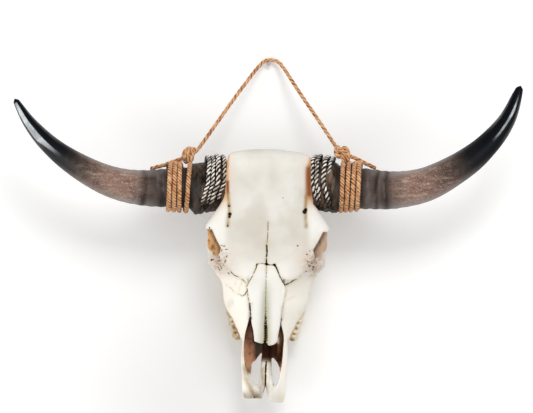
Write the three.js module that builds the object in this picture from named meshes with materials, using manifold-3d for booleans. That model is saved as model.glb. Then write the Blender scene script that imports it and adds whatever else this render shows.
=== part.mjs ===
// A longhorn steer skull, cast in resin as a wall hanging: bone-white skull, dark glossy horns with a
// moulded rope band round each base, and a twisted cord wound round both horns that goes up over a nail.
//
// Millimetres. +X is right as the skull faces the room, +Y runs into the wall and +Z is up. The wall is
// the plane y = 0, and the origin is the point on it under the cord where the cord passes over its nail.
// "Depth" is the distance out from the wall, so a point's y is minus its depth.

import * as THREE from "three";
import { LoftGeometry } from "three/addons/geometries/LoftGeometry.js";
import { mergeVertices } from "three/addons/utils/BufferGeometryUtils.js";
import Module from "manifold-3d";

const wasm = await Module();
wasm.setup();

// ---------------------------------------------------------------- driving dimensions

const HEAD_DROP = 117.4; // the nail down to the level of the horn bases
const HEAD_LEAN = 0.0233; // radians: the skull hangs with its snout a little towards -X
const GAP = 0.3; // air between two pieces that touch

const ORBIT = { x: 60, depth: 60, z: -59, radii: [19, 15.5, 15.5] };
const PALATE_DEPTH = 17;
const FISSURE = { top: -160.5, bottom: -189.5, ends: 3.2 };
const VOMER = { centre: 2.4, half: 4.6 }; // the bar between the two fissures, off centre in this casting

// The boss that carries each horn: [out from the middle, depth, up] at its two ends.
const BOSS = { inner: [19, 40, 4.5], outer: [66, 49.2, -1.1], radius: 19.8, face: 61.4 };
const BAND = { middle: [51.2, 46, 2.5], axis: [1, 0.15, 0.1], strands: 4, pitch: 5.2, radius: 22.2, rope: 2.6 };
const BAND_ROOM = 0.6; // clearance round the band

const HORN_ROOT_RADIUS = 20.4;
const HORN_TIP_RADIUS = 2.4;
const BURR_RADIUS = 24;
const CORD_RADIUS = 2.1;
const CORD_PITCH = 4.6;
const RING_SEGMENTS = 14;

// ---------------------------------------------------------------- finishes

const finish = (color, roughness) => new THREE.MeshStandardMaterial({ color, roughness, metalness: 0 });

const BONE = finish(0xe9e1d2, 0.55);
const TOOTH = finish(0xb08a5c, 0.5);
const HORN = finish(0x4a3d3a, 0.25);
const MOULDED_ROPE = finish(0x4b3d31, 0.5);
const TWINE = finish(0xb07a4a, 0.9);

// ---------------------------------------------------------------- solids

const at = (x, depth, z) => new THREE.Vector3(x, -depth, z);

function solidOf(geometry) {
  const bare = new THREE.BufferGeometry();
  bare.setAttribute("position", geometry.getAttribute("position"));
  bare.setIndex(geometry.index);
  const merged = mergeVertices(bare, 1e-3);
  return new wasm.Manifold(
    new wasm.Mesh({
      numProp: 3,
      vertProperties: merged.attributes.position.array,
      triVerts: new Uint32Array(merged.index.array),
    }),
  );
}

const join = (solids) => solids.reduce((whole, solid) => whole.add(solid));
const cut = (solid, cutters) => cutters.reduce((left, cutter) => left.subtract(cutter), solid);

// The biggest body of a solid, without the crumbs that a cut leaves.
function mainBody(solid) {
  return solid.decompose().reduce((most, body) => (body.volume() > most.volume() ? body : most));
}

function meshOf(name, solid, material) {
  const { vertProperties, triVerts } = mainBody(solid).getMesh();
  const geometry = new THREE.BufferGeometry();
  geometry.setAttribute("position", new THREE.Float32BufferAttribute(vertProperties, 3));
  geometry.setIndex(new THREE.Uint32BufferAttribute(triVerts, 1));
  geometry.computeVertexNormals();
  const mesh = new THREE.Mesh(geometry, material);
  mesh.name = name;
  return mesh;
}

// ---------------------------------------------------------------- shapes

const powered = (value, exponent) => Math.sign(value) * Math.abs(value) ** exponent;

// A closed superellipse: 1 is a diamond, 2 an ellipse, and more is ever squarer.
function rim(sides, squareness, place) {
  return Array.from({ length: sides }, (_, i) => {
    const angle = (2 * Math.PI * i) / sides;
    const across = powered(Math.cos(angle), 2 / squareness);
    const up = powered(Math.sin(angle), 2 / squareness);
    return place(across, up);
  });
}

// A body skinned over level slices, listed from the bottom up. Each slice is
// [z, half width, front depth, depth where it is widest, back depth].
function slices(stations, { sides, front, back }) {
  const sections = stations.map(([z, half, frontDepth, wideDepth, backDepth]) =>
    rim(sides, 2, (across, up) => {
      const squareness = up < 0 ? front : back;
      const reach = up < 0 ? frontDepth - wideDepth : wideDepth - backDepth;
      const angle = Math.atan2(up, across);
      const x = half * powered(Math.cos(angle), 2 / squareness);
      return at(x, wideDepth - reach * powered(Math.sin(angle), 2 / squareness), z);
    }),
  );
  return solidOf(new LoftGeometry(sections, { capStart: true, capEnd: true }));
}

// A body skinned over upright slices that face the wall, from the front to the back. Each slice is
// [depth, half width, top z, bottom z].
function uprightSlices(stations, { sides, squareness }) {
  const sections = stations.map(([depth, half, top, bottom]) =>
    rim(sides, squareness, (across, up) =>
      at(half * across, depth, (top + bottom) / 2 - ((top - bottom) / 2) * up),
    ),
  );
  return solidOf(new LoftGeometry(sections, { capStart: true, capEnd: true }));
}

function ellipsoid(centre, radii, tilt = [0, 0, 0], detail = 8) {
  const geometry = new THREE.SphereGeometry(1, detail, Math.round(detail * 0.7));
  geometry.applyMatrix4(
    new THREE.Matrix4().compose(
      centre,
      new THREE.Quaternion().setFromEuler(new THREE.Euler(...tilt)),
      new THREE.Vector3(...radii),
    ),
  );
  return solidOf(geometry);
}

// A round or oval bar along a smooth route. radiusAt gives [radius, flattening] at a share of its length.
function bar(points, radiusAt, { sides, steps }) {
  const route = new THREE.CatmullRomCurve3(points);
  const frames = route.computeFrenetFrames(steps, false);
  const sections = Array.from({ length: steps + 1 }, (_, i) => {
    const share = i / steps;
    const centre = route.getPointAt(share);
    const [radius, flat = 1] = radiusAt(share);
    return rim(sides, 2, (across, up) =>
      centre
        .clone()
        .addScaledVector(frames.normals[i], radius * across)
        .addScaledVector(frames.binormals[i], radius * flat * up),
    );
  });
  return solidOf(new LoftGeometry(sections, { capStart: true, capEnd: true }));
}

// An upright plate or hole: an outline of [x, z] corners, through the depths from back to front.
function plate(corners, backDepth, frontDepth) {
  const outline = new THREE.Shape(corners.map(([x, z]) => new THREE.Vector2(x, z)));
  const geometry = new THREE.ExtrudeGeometry(outline, {
    depth: frontDepth - backDepth,
    bevelEnabled: false,
    curveSegments: 6,
  });
  geometry.rotateX(Math.PI / 2);
  geometry.translate(0, -backDepth, 0);
  return solidOf(geometry);
}

const both = (make) => [make(-1), make(1)];
const FAR = 150; // beyond any point of the skull, for cutting

// ---------------------------------------------------------------- the skull as one casting

function forehead() {
  return slices(
    [
      [-88, 33, 71, 58, 46],
      [-73, 42.5, 76, 64, 48],
      [-62, 48.5, 80, 68, 52],
      [-50, 54.5, 84, 71, 56],
      [-41, 58.2, 86, 72, 58],
      [-35, 55.5, 87.5, 71, 55],
      [-28, 51, 89, 70, 50],
      [-20, 45.5, 90, 69, 46],
      [-9, 41, 90, 67, 42],
      [8, 40, 89, 66, 42],
      [22, 39.5, 87, 66, 43],
      [28.5, 37.6, 84.5, 66, 45],
      [31.8, 32.5, 81, 66, 48],
      [33.2, 25, 77, 66, 53],
    ],
    { sides: 18, front: 3, back: 2.2 },
  );
}

function braincase() {
  return uprightSlices(
    [
      [76, 32, 30, -70],
      [60, 37, 32, -76],
      [44, 36, 25, -74],
      [30, 32, 15, -70],
      [19, 25, 7, -64],
      [12, 17, 1, -58],
    ],
    { sides: 16, squareness: 2.4 },
  );
}

// The cheeks and upper jaw, from the orbits to the front of the tooth rows.
function cheeks() {
  return slices(
    [
      [-151, 19, 49, 28, 17],
      [-146, 24, 52.5, 24, 12],
      [-135, 29.5, 56, 22, 10.5],
      [-122, 36, 60, 22, 10],
      [-112, 38.8, 63, 24, 10],
      [-97.5, 40.8, 67, 28, 11],
      [-83, 45.5, 71, 34, 14],
      [-78, 49.5, 73, 38, 16],
      [-73, 53.4, 74, 41, 18],
      [-60, 52.5, 73, 42, 22],
      [-52, 44, 68, 44, 28],
    ],
    { sides: 16, front: 1.55, back: 6 },
  );
}

function snout() {
  return slices(
    [
      [-203.6, 18.5, 32, 27, 23.5],
      [-198, 20.3, 35.5, 28, 22],
      [-187, 21, 38.5, 29, 21],
      [-175, 21.8, 41.5, 30, 19.5],
      [-165, 21.6, 44.5, 31, 18.5],
      [-154, 21, 48, 33, 17.5],
      [-142, 18.6, 51, 35, 16],
      [-130, 17, 54, 36, 15],
    ],
    { sides: 16, front: 2.6, back: 3 },
  );
}

// The roof of the nose. clearance makes it bigger all round, to cut its bed out of the bones beside it.
function nasalRoof(clearance = 0) {
  const THICKNESS = 6.5;
  const outline = [
    [-151, 11.2, 53.5],
    [-137, 12.7, 58],
    [-121, 15, 63.5],
    [-97, 18.5, 70],
    [-88, 15.5, 72.3],
    [-74, 9, 75.6],
  ];
  return slices(
    outline.map(([z, half, front], i) => [
      z + clearance * (i === 0 ? -1 : i === outline.length - 1 ? 1 : 0),
      half + clearance,
      front + 8 * Math.sign(clearance),
      front - THICKNESS / 2,
      front - THICKNESS - clearance,
    ]),
    { sides: 14, front: 3.4, back: 4 },
  );
}

// The open front of the nose, and the hollow that runs up under its roof.
function nasalOpening() {
  const open = slices(
    [
      [-194, 9, 60, 40, 31],
      [-190, 14, 60, 40, 29],
      [-184, 18, 60, 38, 27.5],
      [-175, 19.4, 60, 38, 26.5],
      [-165, 19.6, 60, 38, 26],
      [-154, 18.8, 60, 38, 26],
      [-142, 16, 62, 40, 28],
      [-131, 13.6, 66, 42, 32],
    ],
    { sides: 14, front: 5, back: 3 },
  );
  const hollow = slices(
    [
      [-152, 14, 46, 38, 28],
      [-125, 12, 54, 44, 32],
      [-104, 9, 60, 50, 40],
    ],
    { sides: 10, front: 3, back: 3 },
  );
  return open.add(hollow);
}

// Rounded slots through the floor of the nose, one on each side of the vomer.
function palatineFissures() {
  const inner = [VOMER.centre - VOMER.half, VOMER.centre + VOMER.half];
  const outer = [-11.8, 14.6];
  return inner.map((near, i) => {
    const far = outer[i];
    const middle = (near + far) / 2;
    return plate(
      [
        [near, FISSURE.bottom + FISSURE.ends],
        [near, FISSURE.top - FISSURE.ends],
        [middle, FISSURE.top],
        [far, FISSURE.top - 2 * FISSURE.ends],
        [far, FISSURE.bottom + 2 * FISSURE.ends],
        [middle, FISSURE.bottom],
      ],
      5,
      40,
    );
  });
}

function zygomaticArch(side) {
  return bar(
    [
      at(side * 40, 30, -86),
      at(side * 50, 38, -74),
      at(side * 54, 39, -58),
      at(side * 51.5, 37, -46),
      at(side * 45, 34, -39),
      at(side * 28, 31, -35),
    ],
    (share) => [5 - Math.sin(Math.PI * share), 1.15],
    { sides: 8, steps: 7 },
  );
}

// The bar behind the eye that joins the forehead to the arch.
function postorbitalBar(side) {
  return bar(
    [at(side * 51, 74, -40), at(side * 52.6, 60, -42.5), at(side * 51.5, 44, -47)],
    (share) => [4.2 + 1.2 * (2 * share - 1) ** 2],
    { sides: 8, steps: 4 },
  );
}

// A point given level with the horns, in the leaning frame of the skull.
function leaned(side, [out, depth, level]) {
  return at(side * out, depth, level).applyAxisAngle(new THREE.Vector3(0, 1, 0), -HEAD_LEAN);
}

// A slab of everything nearer the middle than a distance out.
const within = (out) => plate([[-out, -FAR], [out, -FAR], [out, FAR], [-out, FAR]], -FAR, FAR);

function hornBoss(side) {
  const ends = [BOSS.inner, BOSS.outer].map((end) => leaned(side, end));
  return bar(ends, () => [BOSS.radius], { sides: 16, steps: 1 }).intersect(within(BOSS.face));
}

// A point on the axis of the rope band, a distance out from the band's middle.
const alongBand = (distance) => BAND.middle.map((value, i) => value + BAND.axis[i] * distance);

// The room that the moulded rope band takes: place turns [out, depth, up] into a point.
function bandRoom(place) {
  const sides = 16;
  const halfWidth = (BAND.strands * BAND.pitch) / 2 + BAND_ROOM;
  const drum = (radius, reach) =>
    bar([-reach, reach].map((distance) => place(alongBand(distance))), () => [radius], { sides, steps: 1 });
  const outer = drum((BAND.radius + 2 * BAND.rope + BAND_ROOM) / Math.cos(Math.PI / sides), halfWidth);
  return outer.subtract(drum(BAND.radius - BAND_ROOM, halfWidth + 1));
}

// What lies round the back of the skull, where it met the neck.
function occiput() {
  const condyles = both((side) => ellipsoid(at(side * 11, 8.5, 0), [7.5, 7, 11], [0.3, 0, 0]));
  const paracondylar = both((side) =>
    bar(
      [at(side * 25, 24, 0), at(side * 25.5, 14, -3), at(side * 23, 3, -8)],
      (share) => [6.4 - 4.2 * share, 0.7],
      { sides: 8, steps: 3 },
    ),
  );
  const bullae = both((side) => ellipsoid(at(side * 22, 19, -24), [7, 9, 9]));
  return join([...condyles, ...paracondylar, ...bullae]);
}

// The thin walls that carry the palate back to the base of the braincase.
function pterygoids() {
  return both((side) =>
    bar(
      [at(side * 15, 20, -104), at(side * 12.5, 13, -86), at(side * 12, 13, -70), at(side * 11, 20, -54)],
      () => [3, 2.6],
      { sides: 6, steps: 4 },
    ),
  );
}

// The ridge of the upper jaw that each tooth row stands in.
function alveolarRidge(side) {
  const along = [TOOTH_ROW.front + 2, -122, -104, TOOTH_ROW.rear];
  return bar(
    along.map((z) => at(side * (rowEdge(z) - rowWidth(z) / 2), 15.5, z)),
    (share) => [rowWidth(TOOTH_ROW.front + share * (TOOTH_ROW.rear - TOOTH_ROW.front)) / 2],
    { sides: 8, steps: 4 },
  );
}

// The row of six cheek teeth on one side, ending at the worn flats that rest on the wall.
const TOOTH_ROW = { front: -147.5, rear: -84, teeth: 6, rootDepth: 14 };

const rowEdge = (z) => 40.6 - 0.0029 * (z + 96) ** 2 - 0.055 * Math.max(0, -z - 96);
const rowWidth = (z) => THREE.MathUtils.mapLinear(z, TOOTH_ROW.front, TOOTH_ROW.rear, 6.5, 11.5);

function toothRow(side) {
  const { front, rear, teeth, rootDepth } = TOOTH_ROW;
  const pitch = (rear - front) / teeth;
  const outerEdge = [];
  const innerEdge = [];
  for (let tooth = 0; tooth < teeth; tooth++) {
    for (const [share, inset] of [[0.06, 1.1], [0.3, 0], [0.7, 0], [0.94, 1.1]]) {
      const z = front + pitch * (tooth + share);
      outerEdge.push([side * (rowEdge(z) - inset), z]);
      innerEdge.unshift([side * (rowEdge(z) - rowWidth(z) + inset * 0.7), z]);
    }
  }
  return plate([...outerEdge, ...innerEdge], 0, rootDepth);
}

// The plain trough that a tooth row is set in.
function toothTrough(side) {
  const room = 3 * GAP;
  const { front, rear, rootDepth } = TOOTH_ROW;
  const along = [front - room, -128, -106, rear + room];
  const outerEdge = along.map((z) => [side * (rowEdge(z) + room), z]);
  const innerEdge = along.map((z) => [side * (rowEdge(z) - rowWidth(z) - room), z]).reverse();
  return plate([...outerEdge, ...innerEdge], -room, rootDepth + GAP);
}

function palateVault() {
  return slices(
    [
      [-152, 15, PALATE_DEPTH, 8, -10],
      [-140, 19, PALATE_DEPTH, 8, -10],
      [-120, 24, PALATE_DEPTH, 8, -10],
      [-100, 26.5, PALATE_DEPTH, 8, -10],
      [-80, 28, PALATE_DEPTH + 3, 8, -10],
    ],
    { sides: 10, front: 3, back: 4 },
  );
}

function casting() {
  const bones = join([
    forehead(),
    braincase(),
    cheeks(),
    snout(),
    ...both(alveolarRidge),
    occiput(),
    ...pterygoids(),
    ...both(zygomaticArch),
    ...both(postorbitalBar),
    ...both(hornBoss),
  ]);
  const { x, depth, z, radii } = ORBIT;
  const orbits = both((side) => ellipsoid(at(side * x, depth, z), radii, [0, side * 0.35, 0], 10));
  const foramenMagnum = ellipsoid(at(0, 16, 3), [7.5, 7, 16], [0.35, 0, 0]);
  const choanae = ellipsoid(at(0, 17, -78), [8.5, 9, 17], [0.15, 0, 0]);
  const prongNotch = plate([[-2.2, -206], [4.6, -206], [1.2, -191]], 5, 60);
  return cut(bones, [
    ...orbits,
    foramenMagnum,
    choanae,
    nasalOpening(),
    nasalRoof(GAP),
    ...palatineFissures(),
    prongNotch,
    palateVault(),
    ...both(toothTrough),
    ...both((side) => bandRoom((place) => leaned(side, place))),
  ]);
}

// ---------------------------------------------------------------- the skull parted along its sutures

// The seam between the forehead and the face: across under the orbits and up to the root of the nose.
const FACE_SEAM = [
  [-FAR, -92],
  [-48, -86],
  [-36, -84],
  [-19, -103],
  [0, -103],
  [19, -103],
  [36, -84],
  [48, -86],
  [FAR, -92],
];

// The premaxillae: the whole snout past its floor seam, and a process of each that narrows as it rises
// beside the nasal bones.
const SNOUT = { floorSeam: -152, half: 22.6, processTop: -131, processHalf: 17.8, processBack: 33 };

function snoutRegion(clearance) {
  const { floorSeam, half, processTop, processHalf, processBack } = SNOUT;
  const edge = half + clearance;
  const tip = processHalf + clearance;
  const seam = floorSeam + clearance;
  const floor = plate([[-edge, seam], [edge, seam], [edge, -2 * FAR], [-edge, -2 * FAR]], -5, FAR);
  const processes = plate(
    [[-tip, processTop + clearance], [tip, processTop + clearance], [edge, seam - 1], [-edge, seam - 1]],
    processBack - clearance,
    FAR,
  );
  return floor.add(processes);
}

function nudged(corners, dz) {
  return corners.map(([x, z]) => [x, z + dz]);
}

function skullNodes() {
  const skull = casting();
  const above = plate([...nudged(FACE_SEAM, GAP / 2), [FAR, FAR], [-FAR, FAR]], -5, FAR);
  const below = plate([...nudged(FACE_SEAM, -GAP / 2), [FAR, -FAR * 2], [-FAR, -FAR * 2]], -5, FAR);
  const upper = skull.intersect(above);
  const lower = skull.intersect(below);

  // The arches leave the cranium behind the orbits.
  const archRegion = (side, clearance) =>
    plate(
      [
        [side * (41 - clearance), -32 + clearance],
        [side * (41 - clearance), -56 - clearance],
        [side * FAR, -56 - clearance],
        [side * FAR, -32 + clearance],
      ],
      -5,
      45 + clearance,
    );

  const half = (side) => {
    const near = (side * GAP) / 2;
    const far = side * FAR;
    return plate([[near, FAR], [far, FAR], [far, -2 * FAR], [near, -2 * FAR]], -5, FAR);
  };

  const arches = both((side) => upper.intersect(archRegion(side, 0)));
  const cranium = cut(upper, both((side) => archRegion(side, GAP)));
  const premaxillae = lower.intersect(snoutRegion(0));
  const jaw = lower.subtract(snoutRegion(GAP));
  const roof = nasalRoof();

  const names = ["left", "right"];
  const paired = (name, solidFor, material) =>
    both((side) => meshOf(`${name}_${names[(side + 1) / 2]}`, solidFor(side), material));
  return [
    meshOf("cranium", cranium, BONE),
    ...paired("zygomatic_arch", (side) => arches[(side + 1) / 2], BONE),
    ...paired("maxilla", (side) => jaw.intersect(half(side)), BONE),
    ...paired("nasal", (side) => roof.intersect(half(side)), BONE),
    ...paired("premaxilla", (side) => premaxillae.intersect(half(side)), BONE),
    ...paired("teeth", (side) => toothRow(side), TOOTH),
  ];
}

// ---------------------------------------------------------------- horns

// Each horn's middle line past the skull, in the frame of the hanging: [out from the middle, depth, up
// from the level of the horn bases]. The two horns of this casting differ a little.
const HORN_LINES = {
  left: [[59, 48, -1], [90, 53.5, -3], [118, 57.5, -3.3], [145, 60.5, 1.4], [175, 64, 14.8],
    [203, 67.5, 34.2], [225, 71, 57.4], [239.6, 75, 80.6]],
  right: [[59, 48, -1], [90, 53.5, -4], [118, 58, -5.3], [147, 61.5, -0.6], [176, 65.5, 13.6],
    [203.5, 69.5, 34.4], [225, 73.5, 60.8], [238, 78, 92.8]],
};
const HORN_FULLNESS = { left: 0.81, right: 0.66 };
const HORN_FACE = 62.2; // each horn starts here, off the face of its boss
const BURR_ENDS = { left: 72, right: 65 }; // how far out the collar at the foot of each horn runs

function horn(name) {
  const side = name === "left" ? -1 : 1;
  const points = HORN_LINES[name].map(([x, depth, z]) => at(side * x, depth, z));
  const radiusAt = (share) => {
    const taper = (1 - share) ** HORN_FULLNESS[name];
    const blunt = Math.sqrt(Math.min(1, (1 - share) / 0.012 + 0.08));
    return [(HORN_TIP_RADIUS + (HORN_ROOT_RADIUS - HORN_TIP_RADIUS) * taper) * blunt];
  };
  const shaft = bar(points, radiusAt, { sides: 12, steps: 16 });
  const room = bandRoom(([out, depth, level]) => at(side * out, depth, level));
  return meshOf(`horn_${name}`, cut(shaft.add(burr(name)), [within(HORN_FACE), room]), HORN);
}

// The swollen collar at the foot of a horn, between the rope band and the cord.
function burr(name) {
  const side = name === "left" ? -1 : 1;
  const middle = (out) => at(side * out, 48.5 + 0.1 * (out - HORN_FACE), -1.6);
  const radiusAt = (share) => [BURR_RADIUS - 1.6 * share ** 2];
  return bar([middle(HORN_FACE - 4), middle(BURR_ENDS[name])], radiusAt, { sides: 16, steps: 2 });
}

// ---------------------------------------------------------------- ropes and cord

// A ring of rope turns side by side, round the local Y axis, from y = 0 up.
function turns(count, pitch, innerRadius, ropeRadius) {
  const profile = [new THREE.Vector2(innerRadius, 0)];
  for (let turn = 0; turn < count; turn++) {
    for (const share of [0, 0.28, 0.72]) {
      const bulge = Math.sin(Math.PI * Math.min(1, share * 1.2 + 0.08)) * ropeRadius;
      profile.push(new THREE.Vector2(innerRadius + ropeRadius + bulge, (turn + share) * pitch));
    }
  }
  profile.push(new THREE.Vector2(innerRadius + ropeRadius * 1.25, count * pitch));
  profile.push(new THREE.Vector2(innerRadius, count * pitch));
  profile.push(profile[0].clone());
  return new THREE.LatheGeometry(profile, RING_SEGMENTS);
}

// Turns of rope as a mesh round a horn, with their ring's axis turned from +Y to the given direction.
function turnsOnHorn(name, geometry, material, place, direction) {
  const mesh = meshOf(name, solidOf(geometry), material);
  mesh.position.copy(place);
  mesh.quaternion.setFromUnitVectors(new THREE.Vector3(0, 1, 0), direction.normalize());
  return mesh;
}

function ropeBand(name) {
  const side = name === "left" ? -1 : 1;
  const [out, depth, level] = alongBand((-BAND.strands * BAND.pitch) / 2);
  const [across, forward, rise] = BAND.axis;
  const ring = turns(BAND.strands, BAND.pitch, BAND.radius, BAND.rope);
  const place = at(side * out, depth, level);
  return turnsOnHorn(`rope_band_${name}`, ring, MOULDED_ROPE, place, at(side * across, forward, rise));
}

// Turns of cord, each lot from a distance out from the middle, on the radius that the horn has there.
const WRAPS = {
  left: [
    { suffix: "inner", out: 75.6, turns: 1, radius: 20.8, level: -1.7 },
    { suffix: "outer", out: 83, turns: 3, radius: 20.3, level: -2.3 },
  ],
  right: [{ suffix: "turns", out: 71.2, turns: 4, radius: 21.8, level: -3.4 }],
};
const WRAP_AXIS = [1, 0.13, 0.05];

function cordWraps(name) {
  const side = name === "left" ? -1 : 1;
  return WRAPS[name].map(({ suffix, out, turns: count, radius, level }) => {
    const ring = turns(count, CORD_PITCH, radius, CORD_RADIUS);
    const place = at(side * out, 48.9 + 0.17 * (out - 63), level);
    const [across, forward, rise] = WRAP_AXIS;
    return turnsOnHorn(`cord_${name}_${suffix}`, ring, TWINE, place, at(side * across, forward, rise));
  });
}

// A cord along a route, as a tube with eight sides.
function cordTube(name, points, steps) {
  const section = new THREE.Shape(rim(8, 2, (x, y) => new THREE.Vector2(x * CORD_RADIUS, y * CORD_RADIUS)));
  const extrudePath = new THREE.CatmullRomCurve3(points);
  const geometry = new THREE.ExtrudeGeometry(section, { extrudePath, steps, bevelEnabled: false });
  return meshOf(name, solidOf(geometry), TWINE);
}

// From the knot on the left horn, over the nail, to the knot on the right horn: nail frame.
const HANGING_ROUTE = [
  [-67.5, 50.5, -84.4],
  [-49.2, 37.8, -58.6],
  [-33.3, 27, -36],
  [-19.5, 17, -17.2],
  [-9.7, 9.8, -4.7],
  [-3.8, 5.6, 0.9],
  [2.2, 4, 2.2],
  [8.7, 5.6, 0.6],
  [14, 9.8, -5],
  [21.5, 16.5, -16.6],
  [33, 25.5, -34.4],
  [48.8, 37.4, -57.8],
  [63, 48.6, -79.5],
].map(([x, depth, z]) => at(x, depth, z));

const KNOTS = {
  left: { centre: [-75.6, 52.5, 29.8], radii: [5.4, 5.5, 7] },
  right: { centre: [69.2, 52, 30.6], radii: [6.6, 5.5, 5] },
};

// The loose ends, which lie back over the turns and down onto the horn.
const TAILS = {
  left: [[-82, 52, 27.2], [-89, 48, 25.2], [-97, 44, 21.6], [-104, 44.5, 18.2], [-110, 45.5, 15.9]],
  right: [[76.5, 51.5, 27.8], [83.5, 48.5, 25.8], [90.5, 45.2, 22.4], [97, 44.5, 18.4], [103, 45, 15.8]],
};

function knot(name) {
  const { centre, radii } = KNOTS[name];
  return meshOf(`knot_${name}`, ellipsoid(at(...centre), radii, [0, 0, 0], 10), TWINE);
}

// ---------------------------------------------------------------- the hanging

const longhornSkull = new THREE.Group();

const head = new THREE.Group();
head.position.set(0, 0, -HEAD_DROP);
head.rotation.y = HEAD_LEAN;
head.add(...skullNodes());

const hornLevel = new THREE.Group();
hornLevel.position.set(0, 0, -HEAD_DROP);
for (const name of ["left", "right"]) {
  const tail = TAILS[name].map(([x, depth, z]) => at(x, depth, z));
  hornLevel.add(
    horn(name),
    ropeBand(name),
    ...cordWraps(name),
    knot(name),
    cordTube(`cord_tail_${name}`, tail, 4),
  );
}

longhornSkull.add(head, hornLevel, cordTube("hanging_cord", HANGING_ROUTE, 24));

export default longhornSkull;
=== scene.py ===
"""A cast-resin longhorn steer skull that hangs on a wall from a twisted cord.

The whole object is modelled in millimetres in two frames and turned into the part's metres at the end:
the frame of the hanging (x to the right, depth out from the wall, z up from the nail), and the frame of
the skull, which hangs HEAD_DROP below the nail and leans a little. The skull is a distance field, built
from lofts, bars and ellipsoids with soft blends, then skinned. Horns and ropes are swept meshes.
"""

import math

import bpy
import numpy as np
from mathutils import Matrix, Vector


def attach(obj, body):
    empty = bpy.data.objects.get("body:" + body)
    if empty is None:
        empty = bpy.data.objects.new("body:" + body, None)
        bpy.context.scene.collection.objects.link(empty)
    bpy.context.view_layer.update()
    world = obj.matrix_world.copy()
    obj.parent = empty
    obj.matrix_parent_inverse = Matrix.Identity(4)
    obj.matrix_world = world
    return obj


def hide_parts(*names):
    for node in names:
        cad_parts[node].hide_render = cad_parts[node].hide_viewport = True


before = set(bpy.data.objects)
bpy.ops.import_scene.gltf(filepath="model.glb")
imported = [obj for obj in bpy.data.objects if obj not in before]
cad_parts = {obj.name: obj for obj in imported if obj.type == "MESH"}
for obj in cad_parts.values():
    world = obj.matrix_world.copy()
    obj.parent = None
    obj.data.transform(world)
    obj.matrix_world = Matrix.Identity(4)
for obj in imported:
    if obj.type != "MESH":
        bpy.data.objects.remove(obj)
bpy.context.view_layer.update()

# ---------------------------------------------------------------- driving dimensions, in millimetres

HEAD_DROP = 117.4  # the nail down to the level of the horn bases
HEAD_LEAN = 0.0233  # radians, the snout towards -X
VOXEL = 0.8  # the skull's distance field
TOOTH_VOXEL = 0.5  # the teeth's
CORD_RADIUS = 2.1
CORD_LAY = 16.5  # the length in which a strand of the cord goes once round
TURN_RADIUS = 2.35  # of the cord where it is wound round a horn
TURN_LAY = 9

PHOTO_SIZE = (533, 413)
MM_PER_PIXEL = 0.947
PHOTO_NAIL = (268.5, 61.0)  # the nail's pixel in the photograph
CAMERA_DISTANCE = 6000
SENSOR_WIDTH = 36
CAMERA_DEPTH = 58  # the depth that MM_PER_PIXEL holds at
METRE = 1000


# ---------------------------------------------------------------- camera

def add_object(name, data):
    thing = bpy.data.objects.new(name, data)
    bpy.context.scene.collection.objects.link(thing)
    return thing


def make_camera():
    camera = add_object("camera", bpy.data.cameras.new("camera"))
    width, height = PHOTO_SIZE
    x = (width / 2 - PHOTO_NAIL[0]) * MM_PER_PIXEL
    z = (PHOTO_NAIL[1] - height / 2) * MM_PER_PIXEL
    camera.location = Vector((x, -CAMERA_DISTANCE - CAMERA_DEPTH, z)) / METRE
    camera.rotation_euler = (math.pi / 2, 0, 0)
    camera.data.sensor_width = SENSOR_WIDTH
    camera.data.lens = SENSOR_WIDTH * CAMERA_DISTANCE / (width * MM_PER_PIXEL)
    camera.data.clip_end = 100
    bpy.context.scene.camera = camera


# ---------------------------------------------------------------- frames and meshes

def nail_frame(points):
    """Points [x, depth, z] of the hanging, as metres of the part."""
    points = np.asarray(points, float)
    return np.stack([points[..., 0], -points[..., 1], points[..., 2]], -1) / METRE


def horn_frame(points):
    """The same, with z from the level of the horn bases."""
    return nail_frame(np.asarray(points, float) - [0, 0, HEAD_DROP])


def head_frame(points):
    """Points of the leaning skull, as metres of the part."""
    x, depth, z = np.moveaxis(np.asarray(points, float), -1, 0)
    cosine, sine = math.cos(HEAD_LEAN), math.sin(HEAD_LEAN)
    return horn_frame(np.stack([x * cosine + z * sine, depth, z * cosine - x * sine], -1))


def make_piece(name, points, faces, material, attributes):
    """A smooth mesh of quads or triangles that rides on the part's one body. points are in metres."""
    mesh = bpy.data.meshes.new(name)
    faces = np.asarray(faces, np.int32)
    corners = faces.shape[1]
    mesh.vertices.add(len(points))
    mesh.vertices.foreach_set("co", np.asarray(points, np.float32).ravel())
    mesh.loops.add(faces.size)
    mesh.loops.foreach_set("vertex_index", faces.ravel())
    mesh.polygons.add(len(faces))
    mesh.polygons.foreach_set("loop_start", np.arange(0, faces.size, corners, dtype=np.int32))
    mesh.polygons.foreach_set("use_smooth", np.ones(len(faces), bool))
    mesh.update(calc_edges=True)
    for key, values in attributes.items():
        values = np.asarray(values, np.float32)
        kind, field = ("FLOAT", "value") if values.ndim == 1 else ("FLOAT_VECTOR", "vector")
        mesh.attributes.new(key, kind, "POINT").data.foreach_set(field, values.ravel())
    mesh.materials.append(material)
    piece = add_object(name, mesh)
    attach(piece, "root")
    return piece


# ---------------------------------------------------------------- curves and sweeps

CURVE_SAMPLES = 24  # between two knots


def smoothstep(low, high, value):
    t = np.clip((value - low) / (high - low), 0, 1)
    return t * t * (3 - 2 * t)


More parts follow.
